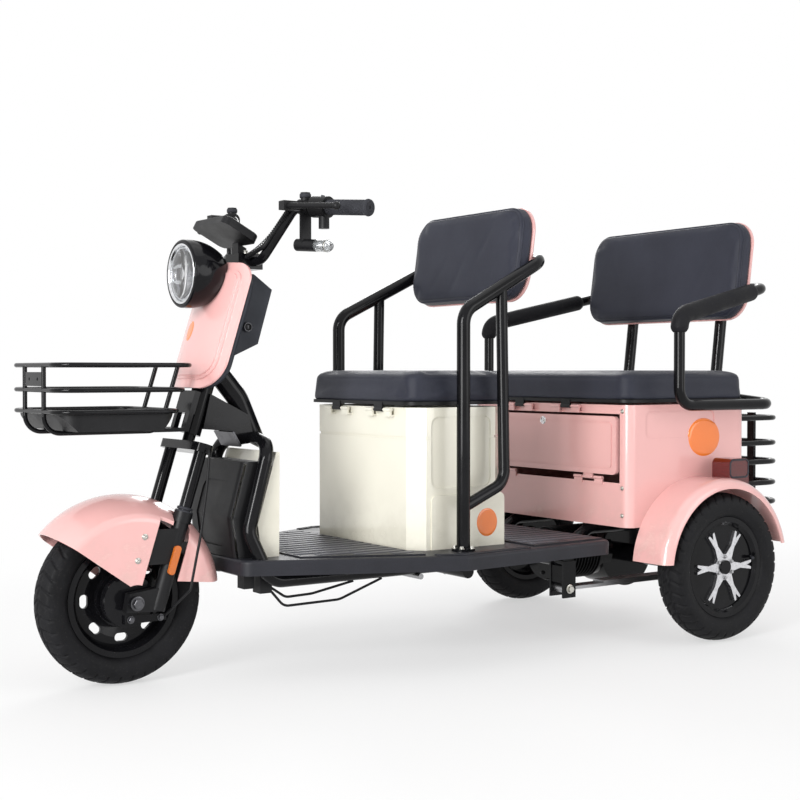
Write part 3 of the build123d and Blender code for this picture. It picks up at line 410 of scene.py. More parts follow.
def roundedLoop(halfX, halfY, corner, steps=8):
    points = []
    for cx, cy, turn in ((1, 1, 0), (-1, 1, 90), (-1, -1, 180), (1, -1, 270)):
        for k in range(steps + 1):
            a = radians(turn + 90 * k / steps)
            points.append((cx * (halfX - corner) + corner * cos(a),
                           cy * (halfY - corner) + corner * sin(a)))
    return points


def plateFrom(bm, loop, where, thick, edge=0.0):
    # a plate of the given outline with a small rounded front edge, built on local Z
    layers = [(0, 0), (thick, 0)]
    if edge:
        layers = [(0, 0), (thick - edge, 0), (thick - edge * 0.3, edge * 0.3), (thick, edge)]
    count = len(loop)
    cx = sum(p[0] for p in loop) / count
    cy = sum(p[1] for p in loop) / count
    rings = []
    for z, inset in layers:
        ring = []
        for x, y in loop:
            reach = hypot(x - cx, y - cy)
            share = (reach - inset) / reach
            ring.append(bm.verts.new(where @ Vector((cx + (x - cx) * share, cy + (y - cy) * share, z))))
        rings.append(ring)
    bridge(bm, rings)


def onSurface(obj):
    bm = bmesh.new()
    bm.from_mesh(obj.data)
    tree = BVHTree.FromBMesh(bm)
    bm.free()
    return tree


# camera at the photograph's angle
cameraPlace = {"where": (-2.0427, -2.8947, 0.6913), "yaw": 34.179, "pitch": 1.1773, "lens": 62.59, "sensor": 36.0,
               "picture": 800}
lens = bpy.data.cameras.new("studioCamera")
lens.lens = cameraPlace["lens"]
lens.sensor_width = cameraPlace["sensor"]
lens.sensor_fit = "HORIZONTAL"
camera = newObject("studioCamera", lens)
yaw, pitch = radians(cameraPlace["yaw"]), radians(cameraPlace["pitch"])
look = Vector((sin(yaw) * cos(pitch), cos(yaw) * cos(pitch), -sin(pitch)))


def facing(place, way):
    # a frame at place that looks along way, as cameras and lamps do
    return Matrix.Translation(place) @ way.to_track_quat("-Z", "Y").to_matrix().to_4x4()


camera.matrix_world = facing(cameraPlace["where"], look)
bpy.context.scene.camera = camera

# soft studio light, a white surround and a pale floor that keeps the shadow
lampAim = Vector((0, 0, 0.5))
studio = {
    "key": {"place": (-4.4, -1.9, 2.3), "size": 1.3, "power": 74},
    "spark": {"place": (-4.0, -2.7, 2.9), "size": 0.45, "power": 24},
    "front": {"place": (-7.5, -3.5, 1.2), "size": 4.0, "power": 430},
    "fill": {"place": (2.2, -4.4, 1.7), "size": 3.0, "power": 55},
    "top": {"place": (0.2, -0.4, 4.2), "size": 3.2, "power": 18},
    "back": {"place": (2.5, 3.4, 2.6), "size": 2.4, "power": 70},
}
for name, spec in studio.items():
    lamp = bpy.data.lights.new(name + "Lamp", "AREA")
    lamp.shape = "DISK"
    lamp.size = spec["size"]
    lamp.energy = spec["power"]
    newObject(name + "Lamp", lamp).matrix_world = facing(spec["place"], lampAim - Vector(spec["place"]))


def seenRays(tree):
    # what the lens, metal and glass look at
    path = put(tree, "LightPath").outputs
    seen = maths(tree, "MAXIMUM", path["Is Camera Ray"], path["Is Glossy Ray"])
    return maths(tree, "MAXIMUM", seen, path["Is Transmission Ray"])


surround = {"light": 0.6, "seen": 1.0}
world = bpy.data.worlds.new("studioWorld")
bpy.context.scene.world = world
world.use_nodes = True
sky = world.node_tree
background = sky.nodes["Background"]
background.inputs["Color"].default_value = (1, 1, 1, 1)
level = ramp(sky, seenRays(sky), 0, 1, surround["light"], surround["seen"])
sky.links.new(level, background.inputs["Strength"])

floorSize = {"half": 14.0, "near": 0.95, "far": 2.0, "lift": 0.55, "stretch": (0.62, 0.95, 1),
             "colour": (0.86, 0.86, 0.86, 1)}
half = floorSize["half"]
floorMesh = bpy.data.meshes.new("studioFloor")
floorMesh.from_pydata([(-half, -half, 0), (half, -half, 0), (half, half, 0), (-half, half, 0)], [], [(0, 1, 2, 3)])
floor = newObject("studioFloor", floorMesh)
floorMat, tree, shader = newMaterial("floorPale", **{"Roughness": 0.7, "Base Color": floorSize["colour"]})
reach = put(tree, "VectorMath", {0: coords(tree, floorSize["stretch"])}, operation="LENGTH").outputs["Value"]
fade = ramp(tree, reach, floorSize["near"], floorSize["far"], floorSize["lift"], interpolation_type="SMOOTHSTEP")
glow = put(tree, "Emission", {"Color": (1, 1, 1, 1), "Strength": 1.0})
share = maths(tree, "MULTIPLY", fade, seenRays(tree))
blend = put(tree, "MixShader", {0: share, 1: shader.outputs[0], 2: glow.outputs[0]})
tree.links.new(blend.outputs[0], tree.nodes["Material Output"].inputs["Surface"])
floorMesh.materials.append(floorMat)
bpy.context.scene.view_settings.view_transform = "Standard"
print("camera, light and floor set")


def arcThrough(p0, p1, p2, steps):
    # points on the circle through three points, first to last
    (ax, ay), (bx, by), (cx, cy) = p0, p1, p2
    d = 2 * (ax * (by - cy) + bx * (cy - ay) + cx * (ay - by))
    sa, sb, sc = ax * ax + ay * ay, bx * bx + by * by, cx * cx + cy * cy
    ux = (sa * (by - cy) + sb * (cy - ay) + sc * (ay - by)) / d
    uy = (sa * (cx - bx) + sb * (ax - cx) + sc * (bx - ax)) / d
    r = hypot(ax - ux, ay - uy)
    a0 = atan2(ay - uy, ax - ux)
    am = (atan2(by - uy, bx - ux) - a0 + pi) % (2 * pi) - pi
    a2 = (atan2(cy - uy, cx - ux) - a0 + pi) % (2 * pi) - pi
    if am * a2 < 0 or abs(am) > abs(a2):
        a2 -= copysign(2 * pi, a2)
    turns = [a0 + a2 * k / steps for k in range(steps + 1)]
    return [(ux + r * cos(a), uy + r * sin(a)) for a in turns]


def smoothRoute(points, fine=10):
    # a smooth line with the given points as its controls
    curve = bpy.data.curves.new("routeLine", "CURVE")
    curve.dimensions = "3D"
    spline = curve.splines.new("NURBS")
    spline.points.add(len(points) - 1)
    for p, q in zip(spline.points, points):
        p.co = (*q, 1)
    spline.order_u = 3
    spline.use_endpoint_u = True
    curve.resolution_u = fine
    obj = bpy.data.objects.new("routeLine", curve)
    mesh = bpy.data.meshes.new_from_object(obj)
    line = [v.co.copy() for v in mesh.vertices]
    bpy.data.objects.remove(obj)
    bpy.data.curves.remove(curve)
    bpy.data.meshes.remove(mesh)
    return line


def even(line, step):
    # the same line with points an even step apart
    out = [line[0].copy()]
    left = step
    for a, b in zip(line, line[1:]):
        run = (b - a).length
        done = 0.0
        while run - done >= left:
            done += left
            out.append(a.lerp(b, done / run))
            left = step
        left -= run - done
    return out


surfaces = {}


def land(name, start, way):
    # where a line meets a CAD node, and the skin's direction there
    if name not in surfaces:
        surfaces[name] = onSurface(nodes[name])
    hit, normal, _, _ = surfaces[name].ray_cast(Vector(start), Vector(way).normalized())
    if hit is None:
        return None, None
    return hit, normal if normal.dot(Vector(way)) < 0 else -normal


def sightLine(u, v):
    # the camera's line of sight through a point of the picture
    side = Vector((cos(yaw), -sin(yaw), 0))
    rise = side.cross(look)
    middle = cameraPlace["picture"] / 2
    focal = cameraPlace["lens"] / cameraPlace["sensor"] * cameraPlace["picture"]
    way = look + side * ((u - middle) / focal) + rise * ((middle - v) / focal)
    return Vector(cameraPlace["where"]), way.normalized()


# tyres: rounded crown with two wavy grooves, curved side cuts and ridged walls
tyreShape = {"radius": 0.190, "steps": 420, "cuts": 38, "deep": 0.0042, "wall": 10, "edge": 0.036,
             "shoulder": 0.178, "tread": 0.17, "bead": 0.131, "core": 0.15, "flat": 0.6, "ridge": 0.0009,
             "ridges": (0.1655, 0.151, 0.138)}


def tyreDepth(a, y, r):
    # how far a point is cut in, or stands out where the wall has a ridge
    if r > tyreShape["tread"]:
        s = y / tyreShape["edge"]
        turn = a * tyreShape["cuts"] / (2 * pi)
        wave = 0.30 + 0.05 * sin(a * tyreShape["cuts"])
        depth = max(0.0, 1 - abs(abs(s) - wave) / 0.075)
        if 0.42 < abs(s):
            phase = (turn + (0.5 if s > 0 else 0) + 0.55 * abs(s) ** 1.6) % 1.0
            depth = max(depth, 1 - abs(phase - 0.5) / 0.1)
        if abs(s) < 0.24:
            phase = (turn + 0.25 + 0.7 * s) % 1.0
            depth = max(depth, (1 - abs(phase - 0.5) / 0.08) * 0.7)
        return max(0.0, min(1.0, depth * 1.8)) * tyreShape["deep"]
    if r > tyreShape["bead"]:
        near = max(max(0.0, 1 - abs(r - ridge) / 0.004) for ridge in tyreShape["ridges"])
        return -tyreShape["ridge"] * near
    return 0.0


def tyreRing(name, node, body, centre):
    edge = (tyreShape["edge"], tyreShape["shoulder"])
    crown = arcThrough((-edge[0], edge[1]), (0, tyreShape["radius"]), edge, 40)
    wall = arcThrough(edge, (0.0412, 0.158), (0.030, 0.1305), tyreShape["wall"])[1:]
    inner = [(0.0235, 0.130), (0.0235, 0.1215), (-0.0235, 0.1215), (-0.0235, 0.130)]
    line = crown + wall + inner + [(-y, r) for y, r in reversed(wall)]

    def shaped(a):
        points = []
        for y, r in line:
            depth = tyreDepth(a, y, r)
            inY, inR = y * tyreShape["flat"], r - tyreShape["core"]
            reach = hypot(inY, inR)
            points.append((r - depth * inR / reach, y - depth * inY / reach) if reach > 0.002 else (r, y))
        return points

    obj = turned(name, "tyre", body, aim(centre, (0, 1, 0)), tyreShape["steps"], None, True, shaped)
    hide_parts(node)


axleHeight, rearX, rearHalf = 190, 1474, 396
wheels = (
    ("front", "front_wheel", 0, 0, -1),
    ("rearLeft", "rear_left_wheel", rearX, -rearHalf, -1),
    ("rearRight", "rear_right_wheel", rearX, rearHalf, 1),
)
for label, body, x, y, out in wheels:
    tyreRing(label + "Tyre", body.replace("wheel", "tyre"), body, at(x, y, axleHeight))
print("tyres built")


# pads: a slack cover is blown up by cloth pressure, then sewn
def padShell(bm, halfX, halfY, corner, thick, roundTop, roundLow):
    # rows of (inset, height) from the rounded lower edge to the rounded top edge
    quarter = [pi / 2 * k / 5 for k in range(6)]
    rows = [(roundLow * (1 - sin(a)), roundLow * (1 - cos(a))) for a in quarter]
    rows += [(roundTop * (1 - cos(a)), thick - roundTop + roundTop * sin(a)) for a in quarter]
    rings = []
    for inset, z in rows:
        loop = roundedLoop(halfX - inset, halfY - inset, max(corner - inset, 0.004), 8)
        rings.append([bm.verts.new((x, y, z)) for x, y in loop])
    bridge(bm, rings)


def evaluated(obj):
    deps = bpy.context.evaluated_depsgraph_get()
    return bpy.data.meshes.new_from_object(obj.evaluated_get(deps))


def swapMesh(obj, mesh):
    old = obj.data
    obj.modifiers.clear()
    obj.data = mesh
    bpy.data.meshes.remove(old)


def roundRectDistance(x, y, halfX, halfY, corner):
    qx = abs(x) - halfX + corner
    qy = abs(y) - halfY + corner
    return hypot(max(qx, 0), max(qy, 0)) + min(max(qx, qy), 0) - corner


def softPad(name, node, body, where, spec):
    bm = bmesh.new()
    slack = spec["slack"]
    padShell(bm, spec["halfX"] - slack, spec["halfY"] - slack, spec["corner"], spec["thick"] - slack,
             spec["roundTop"], spec["roundLow"])
    obj = meshObject(name, bm)
    remesh = obj.modifiers.new("evenMesh", "REMESH")
    remesh.mode = "VOXEL"
    remesh.voxel_size = spec["voxel"]
    swapMesh(obj, evaluated(obj))
    start = [v.co.copy() for v in obj.data.vertices]
    held = obj.vertex_groups.new(name="held")
    held.add([v.index for v in obj.data.vertices if v.co.z < spec["held"]], 1.0, "ADD")
    cloth = obj.modifiers.new("swell", "CLOTH").settings
    cloth.use_pressure = True
    cloth.uniform_pressure_force = spec["pressure"]
    cloth.effector_weights.gravity = 0
    cloth.vertex_group_mass = "held"
    cloth.quality = 4
    cloth.tension_stiffness = spec["stiff"]
    cloth.compression_stiffness = spec["stiff"]
    cloth.bending_stiffness = 0.4
    for step in range(1, spec["frames"] + 1):
        bpy.context.scene.frame_set(step)
    swapMesh(obj, evaluated(obj))
    bpy.context.scene.frame_set(1)
    obj.vertex_groups.clear()
    for v, s in zip(obj.data.vertices, start):
        move = v.co - s
        if move.length > spec["cap"]:
            v.co = s + move * (spec["cap"] / move.length)
    bm = bmesh.new()
    bm.from_mesh(obj.data)
    for _ in range(3):
        bmesh.ops.smooth_vert(bm, verts=bm.verts, factor=0.5, use_axis_x=True, use_axis_y=True, use_axis_z=True)
    bm.to_mesh(obj.data)
    bm.free()
    finer = obj.modifiers.new("finer", "SUBSURF")
    finer.levels = 1
    finer.render_levels = 1
    swapMesh(obj, evaluated(obj))
    spec["sew"](obj.data, spec)
    obj.data.transform(where)
    settle(obj, "vinyl", body)
    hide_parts(node)


def pullIn(v, spec, wide, low=-1.0):
    # soft pull lines, each with a place, a lean, a length and a depth
    for px, py, lean, long, deep in spec["pulls"]:
        if v.co.z > low:
            ax = (v.co.x - px) * cos(lean) + (v.co.y - py) * sin(lean)
            ay = (v.co.y - py) * cos(lean) - (v.co.x - px) * sin(lean)
            v.co.z -= deep * exp(-(ax / long) ** 2 - (ay / wide) ** 2)


def creaseFront(mesh, spec):
    # a sewn edge round the front panel, with a few soft pull lines
    for v in mesh.vertices:
        if v.co.z > spec["thick"] * 0.45:
            d = roundRectDistance(v.co.x, v.co.y, spec["halfX"], spec["halfY"], spec["corner"])
            v.co.z -= spec["seamDeep"] * exp(-((d + spec["seamIn"]) / 0.0034) ** 2)
            pullIn(v, spec, 0.011)


def creaseTop(mesh, spec):
    # the seam between the top panel and the side band, and a slack lower hem
    for v in mesh.vertices:
        d = roundRectDistance(v.co.x, v.co.y, spec["halfX"], spec["halfY"], spec["corner"])
        if d > -0.012:
            fall = spec["seamDeep"] * exp(-((v.co.z - spec["seamHigh"]) / 0.003) ** 2)
            reach = hypot(v.co.x, v.co.y)
            v.co.x -= fall * v.co.x / reach
            v.co.y -= fall * v.co.y / reach
            if v.co.z < 0.016:
                v.co.z -= 0.0012 * (1 + sin(v.co.x * 41) * sin(v.co.y * 37))
        pullIn(v, spec, 0.014, spec["thick"] * 0.6)


lidTop = 620
cushionSpec = {"thick": 0.072, "corner": 0.040, "roundTop": 0.016, "roundLow": 0.004, "slack": 0.004,
               "voxel": 0.006, "held": 0.010, "pressure": 4.0, "stiff": 15, "frames": 20, "cap": 0.006, "fill": 0.85,
               "seamDeep": 0.0016, "seamHigh": 0.054, "sew": creaseTop}
frontPulls = [(-0.09, -0.16, 0.8, 0.05, 0.0009), (-0.10, 0.15, 2.2, 0.05, 0.0008), (0.08, 0.02, 1.4, 0.07, 0.0006)]
softPad("frontCushion", "front_cushion", "front_seat", Matrix.Translation(at(773.5, 0, lidTop)),
        {**cushionSpec, "halfX": 0.1515, "halfY": 0.240, "pulls": frontPulls})
rearPulls = [(-0.14, -0.24, 0.8, 0.06, 0.0009), (-0.15, 0.22, 2.3, 0.06, 0.0008), (0.1, -0.05, 1.2, 0.09, 0.0006)]
softPad("rearCushion", "rear_cushion", "rear_seat", Matrix.Translation(at(1441.5, 0, lidTop)),
        {**cushionSpec, "halfX": 0.2265, "halfY": 0.330, "voxel": 0.007, "pulls": rearPulls})
print("cushions swollen")


def leaning(degrees):
    # the ways up and back on a piece that leans to the rear
    a = radians(degrees)
    return Vector((sin(a), 0, cos(a))), Vector((cos(a), 0, -sin(a)))


restUp, restBack = leaning(8)
restFront = -restBack
restDeep = 0.014


def restFrame(x, z):
    # local X to the left, Y up the rest and Z out of its front
    turn = Matrix(((0, restUp.x, restFront.x), (-1, restUp.y, restFront.y), (0, restUp.z, restFront.z))).to_4x4()
    return Matrix.Translation(at(x, 0, z) - restFront * restDeep) @ turn


restSpec = {"thick": 0.038, "corner": 0.066, "roundTop": 0.010, "roundLow": 0.003, "slack": 0.003, "voxel": 0.0055,
            "held": 0.006, "pressure": 3.0, "stiff": 15, "frames": 20, "cap": 0.005, "fill": 0.8,
            "seamDeep": 0.0022, "seamIn": 0.011, "sew": creaseFront}
frontRest = restFrame(973, 985)
rearRest = restFrame(1680, 968)
frontPulls = [(0.09, 0.03, 1.0, 0.05, 0.0009), (-0.02, -0.06, 1.05, 0.06, 0.0008),
              (-0.10, -0.05, 0.9, 0.05, 0.0006)]
softPad("frontBackrest", "front_backrest", "chassis", frontRest,
        {**restSpec, "halfX": 0.235, "halfY": 0.122, "pulls": frontPulls})
rearPulls = [(0.16, -0.02, 1.1, 0.06, 0.0005), (-0.18, 0.02, 2.0, 0.06, 0.0004)]
softPad("rearBackrest", "rear_backrest", "chassis", rearRest,
        {**restSpec, "halfX": 0.306, "halfY": 0.139, "pulls": rearPulls})
print("backrests swollen")

# piping and stitches along the backrests' sewn edge
stitch = {"step": 0.0075, "radius": 0.0006, "piping": 0.0022, "inset": 0.007, "sink": 0.0004, "rise": 0.0005}


def sewnEdge(name, pad, where, halfX, halfY, corner):
    tree = onSurface(bpy.data.objects[pad])
    out = where.to_3x3() @ Vector((0, 0, 1))

    def loopAt(inset, step):
        loop = roundedLoop(halfX - inset, halfY - inset, corner - inset, 14)
        line = [Vector((x, y, 0)) for x, y in loop]
        return even(line + [line[0]], step)

    def onPad(p):
        return tree.ray_cast(where @ (p + Vector((0, 0, 0.12))), -out)[0]

    hits = [onPad(p) for p in loopAt(0, 0.006)]
    bm = bmesh.new()
    tubeAlong(bm, [hit + out * stitch["sink"] for hit in hits if hit is not None], stitch["piping"], 8, True)
    fromBmesh(name + "Piping", bm, "vinyl", "chassis")
    bm = bmesh.new()
    for p, q in zip(*[iter(loopAt(stitch["inset"], stitch["step"] / 2))] * 2):
        ends = [onPad(p), onPad(q)]
        if None not in ends:
            mid = (ends[0] + ends[1]) / 2 + out * stitch["rise"]
            low = [end - out * stitch["sink"] for end in ends]
            tubeAlong(bm, [low[0], mid, low[1]], stitch["radius"], 5)
    fromBmesh(name + "Stitches", bm, "foam", "chassis")


sewnEdge("frontBackrest", "frontBackrest", frontRest, 0.2250, 0.1120, 0.058)
sewnEdge("rearBackrest", "rearBackrest", rearRest, 0.2960, 0.1290, 0.058)
print("seams sewn")

# moulded armrest sleeves with a parting line and rounded ends
sleeve = {"radius": 0.023, "share": 0.84, "sides": 40, "drop": 0.042, "bend": 0.045, "most": 0.041,
          "knee": (1340, 390, 832), "back": (1722, 335, 918), "taper": 0.014, "parting": 0.08}
for side, label in ((-1, "left"), (1, "right")):
    knee, back = (at(x, side * y, z) for x, y, z in (sleeve["knee"], sleeve["back"]))
    tip = knee.lerp(back, sleeve["share"])
    low = knee - Vector((0, 0, sleeve["drop"]))
    way = (back - knee).normalized()
    tangent = min(sleeve["bend"] * tan(acos(max(-1, min(1, way.z))) / 2), sleeve["most"])
    turnFrom = knee - Vector((0, 0, tangent))
    turnTo = knee + way * tangent
    line = [low]
    for k in range(13):
        t = k / 12
        line.append(turnFrom * (1 - t) ** 2 + knee * (2 * t * (1 - t)) + turnTo * t ** 2)
    line.append(tip)
    line = even(line, 0.004) + [tip]
    run = [0.0]
    for a, b in zip(line, line[1:]):
        run.append(run[-1] + (b - a).length)
    bm = bmesh.new()
    rings = []
    for k, point in enumerate(line):
        before = line[max(k - 1, 0)]
        after = line[min(k + 1, len(line) - 1)]
        way = (after - before).normalized()
        flat = way.cross(Vector((0, 1, 0))).normalized()
        out = flat.cross(way).normalized()
        near = min(run[k], run[-1] - run[k])
        fall = 1 - 0.30 * (1 - min(near / sleeve["taper"], 1)) ** 2
        ring = []
        for s in range(sleeve["sides"]):
            a = 2 * pi * s / sleeve["sides"]
            dent = 1.0 - 0.012 * (abs(sin(a)) < sleeve["parting"])
            r = sleeve["radius"] * fall * dent - 0.0003
            ring.append(bm.verts.new(point + (flat * cos(a) + out * sin(a)) * r))
        rings.append(ring)
    bridge(bm, rings)
    pad = fromBmesh(label + "ArmSleeve", bm, "foam", "chassis")
    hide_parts("armrest_pads")
print("armrest sleeves made")


# handlebar: grips with a diamond pattern, lamp covers, switch keys, mirror collars
barInner, barOuter, barRun = (366, 150, 1064), (432, 350, 1047), 211.3


def onBar(side, along):
    start, end = (at(x, side * y, z) for x, y, z in (barInner, barOuter))
    way = (end - start).normalized()
    return start + way * along / 1000, way


gripShape = {"radius": 0.0168, "long": 118, "back": 112, "lift": 0.0017, "rows": 9, "round": 14,
             "steps": 84, "along": 100,
             "end": ((0.0135, 0.1186), (0.0130, 0.1178), (0.0085, 0.1178), (0.0080, 0.1186), (0.0042, 0.1186),
                     (0.0038, 0.1150))}
turnLamp = {
    "along": 30, "drop": 0.086,
    "cover": [(0.0138, 0.034), (0.0138, 0.062), (0.0132, 0.069), (0.0105, 0.0745), (0.0005, 0.0758),
              (0.0005, 0.0738), (0.0095, 0.0726), (0.0116, 0.068), (0.0122, 0.062), (0.0122, 0.034)],
    "bulb": [(0.0116, 0.0335), (0.0118, 0.036), (0.0075, 0.0375), (0.0045, 0.038), (0.0045, 0.044), (0.0062, 0.049),
             (0.0066, 0.054), (0.0052, 0.059), (0, 0.0615)],
    "band": [(0.01405, 0.0625), (0.01405, 0.0655), (0.0136, 0.0668), (0.0134, 0.0625)],
}
mirrorCollar = [(0.0111, 0.020), (0.0126, 0.020), (0.0132, 0.0245), (0.0126, 0.029), (0.0111, 0.029)]


def gripRadius(a, t):
    # a is the share of a turn and t the share of the grip's length
    radius = gripShape["radius"]
    if t == 1:
        return radius * 0.86
    if t >= 0.92:
        return radius + 0.0024 * (1 - abs(t - 0.96) / 0.04) ** 0.5
    if not 0.03 < t < 0.90:
        return radius
    u = a * gripShape["round"] + t * gripShape["rows"]
    w = a * gripShape["round"] - t * gripShape["rows"]
    ridge = max(0.0, 1 - 3.2 * min(abs(u % 1 - 0.5), abs(w % 1 - 0.5)))
    return radius + gripShape["lift"] * (ridge - 0.6)


for side, label in ((-1, "left"), (1, "right")):
    where = aim(*onBar(side, barRun - gripShape["back"]))
    steps, along = gripShape["steps"], gripShape["along"]
    rows = [([gripRadius(k / steps, i / along) for k in range(steps)], i / along * gripShape["long"] / 1000)
            for i in range(along + 1)]
    rows += [([r] * steps, z) for r, z in gripShape["end"]]
    bm = bmesh.new()
    rings = []
    for radii, z in rows:
        turns = [(r, 2 * pi * (k / steps)) for k, r in enumerate(radii)]
        rings.append([bm.verts.new(where @ Vector((r * cos(a), r * sin(a), z))) for r, a in turns])
    bridge(bm, rings)
    grip = fromBmesh(label + "Grip", bm, "rubber", "steering")
    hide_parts("grips")

    mid, way = onBar(side, turnLamp["along"])
    where = aim(mid - Vector((0, 0, turnLamp["drop"])), way)
    obj = turned(label + "TurnCover", "glass", "steering", where, 40, turnLamp["cover"])
    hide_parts("turn_lenses")
    turned(label + "TurnBulb", "chrome", "steering", where, 28, turnLamp["bulb"], False)
    turned(label + "TurnBand", "zinc", "steering", where, 40, turnLamp["band"])

    keys = bmesh.new()
    for along, across, wide in ((66, 0.35, 0.0055), (80, 0.35, 0.0065), (73, 1.15, 0.0045)):
        place, way = onBar(side, along)
        out = Matrix.Rotation(across * -side, 3, way) @ Vector((0.94, 0, 0.34))
        loop = roundedLoop(wide, wide * 0.7, wide * 0.45, 5)
        plateFrom(keys, loop, aim(place + out * 0.0232, out), 0.0042, 0.0012)
    fromBmesh(label + "SwitchKeys", keys, "darkGrey", "steering")
    turned(label + "MirrorCollar", "rubber", "steering", aim(mid, (0, 0, 1)), 32, mirrorCollar)
print("bar ends made")

# a spiral wrap round the bar's wiring
loomSpec = {"step": 0.0006, "pitch": 0.0062, "radius": 0.0060, "cord": 0.0013}
loomRoute = [at(345.4, -167.4, 1061.6), at(349.4, -127.4, 1040), at(320, -84, 976), at(303, -31, 954)]
line = even(smoothRoute(loomRoute, 24), loomSpec["step"])
bm = bmesh.new()
coil = []
for k in range(1, len(line) - 1):
    way = (line[k + 1] - line[k - 1]).normalized()
    side = way.cross(Vector((0, 0, 1))).normalized()
    rise = side.cross(way)
    a = 2 * pi * k * loomSpec["step"] / loomSpec["pitch"]
    coil.append(line[k] + (side * cos(a) + rise * sin(a)) * loomSpec["radius"])
tubeAlong(bm, coil, loomSpec["cord"], 6)
fromBmesh("loomWrap", bm, "black", "steering")
print("loom wrapped")

# headlight: chrome ring, white halo, reflector bowl, projector and a domed clear cover
lampFrame = aim(at(160, 0, 913), (-1, 0, 0))
finish["halo"] = lampPlastic("haloWhite", (0.88, 0.90, 0.93), 320, 0.1)
parts = (
    ("lampRing", "chrome", "silver",
     [(0.0692, -0.004), (0.0692, 0.0072), (0.0672, 0.0088), (0.0640, 0.0074), (0.0622, 0.0030), (0.0618, -0.004)]),
    ("lampHalo", "halo", "clear_glass",
     [(0.0616, -0.010), (0.0616, 0.0006), (0.0590, 0.0022), (0.0545, 0.0008), (0.0535, -0.010)]),
    ("lampBowl", "bowl", "silver",
     [(0.0533, -0.003), (0.0500, -0.0085), (0.0430, -0.0150), (0.0330, -0.0195), (0.0330, -0.0212),
      (0.0445, -0.0175), (0.0520, -0.0105), (0.0533, -0.0060)]),
    ("lampHousing", "black", "black_plastic",
     [(0.0329, -0.0212), (0.0329, -0.0060), (0.0305, -0.0030), (0.0272, -0.0034), (0.0262, -0.0080),
      (0.0262, -0.0212)]),
)
for name, key, slotName, profile in parts:
    turned(name, key, "chassis", lampFrame, 72, profile)
dome = [(0.0255 * cos(a), -0.0120 + 0.0130 * sin(a)) for a in (0.1, 0.4, 0.7, 1.0, 1.25, 1.45)]
profile = [(0.0258, -0.0210)] + dome + [(0, 0.0010)]
turned("lampProjector", "lens", "chassis", lampFrame, 48, profile, False)
bm = bmesh.new()
for side in (-1, 1):
    loop = [(-0.046, 0.0045), (-0.030, 0.0085), (0.030, 0.0085), (0.046, 0.0045), (0.046, 0.0012), (-0.046, 0.0012)]
    loop = [(x, side * y) for x, y in (loop if side < 0 else reversed(loop))]
    plateFrom(bm, loop, lampFrame @ Matrix.Translation((0, side * 0.012, -0.0060)), 0.0035, 0.0008)
fromBmesh("lampBars", bm, "halo", "chassis")
dome = [(0.0616 * sin(a), 0.0030 + 0.0052 * cos(a)) for a in (1.5708, 1.35, 1.1, 0.85, 0.6, 0.35, 0.12)]
profile = [(0.0614, 0.0014)] + dome + [(0, 0.0082)]
cover = turned("lampCover", "lens", "chassis", lampFrame, 72, profile, False)
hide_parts("headlight_lens")
print("headlight fitted")

# ribs on the floor mats, laid along the vehicle, in a lighter grey than the mats: partly the rubber's own tone,
# partly painted sheen where their tops catch the light at a low angle
ribs = {"pitch": 36, "half": 11, "high": 1.3, "top": 274, "margin": 34, "clear": 12, "step": 4, "least": 30,
        "mats": ((366, 616), (936, 1159))}


def deckHalf(x):
    return 150 + (x - 232) / 468 * 210 if x < 700 else 360 - (x - 700) / 480 * 38


bm = bmesh.new()
for x0, x1 in ribs["mats"]:
    reach = max(deckHalf(x0), deckHalf(x1)) - ribs["margin"]
    most = int(reach // ribs["pitch"])
    for k in range(-most, most + 1):
        y = k * ribs["pitch"]
        wide = abs(y) + ribs["clear"]
        start, end = x0, x1
        while deckHalf(start) - ribs["margin"] < wide and start < x1:
            start += ribs["step"]
        while deckHalf(end) - ribs["margin"] < wide and end > x0:
            end -= ribs["step"]
        if end - start > ribs["least"]:
            loop = roundedLoop((end - start) / 2000, ribs["half"] / 1000, 0.0035, 3)
            where = Matrix.Translation(at((start + end) / 2, y, ribs["top"]))
            plateFrom(bm, loop, where, ribs["high"] / 1000, 0.0009)
fromBmesh("matRibs", bm, "mat", "chassis")

# raised strips along the deck's open edges
strips = {"from": 640, "to": 905, "step": 12, "insets": (12, 24), "top": 271, "radius": 0.0022}
bm = bmesh.new()
for inset in strips["insets"]:
    for side in (-1, 1):
        run = range(strips["from"], strips["to"], strips["step"])
        line = [at(x, side * (deckHalf(x) - inset), strips["top"]) for x in run]
        tubeAlong(bm, line, strips["radius"], 8)
fromBmesh("deckStrips", bm, "deckGrey", "chassis")
print("deck ribs laid")

# column: grey band behind the shield and the key socket
rake = 17.4
axisUp, axisBack = leaning(rake)


def onAxis(z):
    return at(299 + (z - 946) * tan(radians(rake)), 0, z)


bandSpec = {"low": 648, "high": 921, "half": 0.1165, "corner": 0.060, "bow": 0.046, "side": 0.020, "wide": 0.122,
            "back": 0.0085, "step": 0.008,
            "section": ((-0.002, -0.0025), (-0.003, 0.006), (-0.0015, 0.0115), (0.006, 0.012), (0.010, -0.0025))}
lowEnd, highEnd = onAxis(bandSpec["low"]), onAxis(bandSpec["high"])
middle = (lowEnd + highEnd) / 2
halfHigh = (highEnd - lowEnd).length / 2
line = []
for y, z in roundedLoop(bandSpec["half"], halfHigh, bandSpec["corner"], 12):
    bow = bandSpec["bow"] - (bandSpec["bow"] - bandSpec["side"]) * (y / bandSpec["wide"]) ** 2
    line.append(middle + axisUp * z + Vector((0, y, 0)) + axisBack * (-bow + bandSpec["back"]))
bm = bmesh.new()
rings = []
for p in even(line + [line[0]], bandSpec["step"])[:-1]:
    toward = middle - p
    toward = (toward - axisBack * toward.dot(axisBack)).normalized()
    rings.append([bm.verts.new(p + toward * a + axisBack * b) for a, b in bandSpec["section"]])
bridge(bm, rings, True)
fromBmesh("shieldBand", bm, "darkGrey", "chassis")

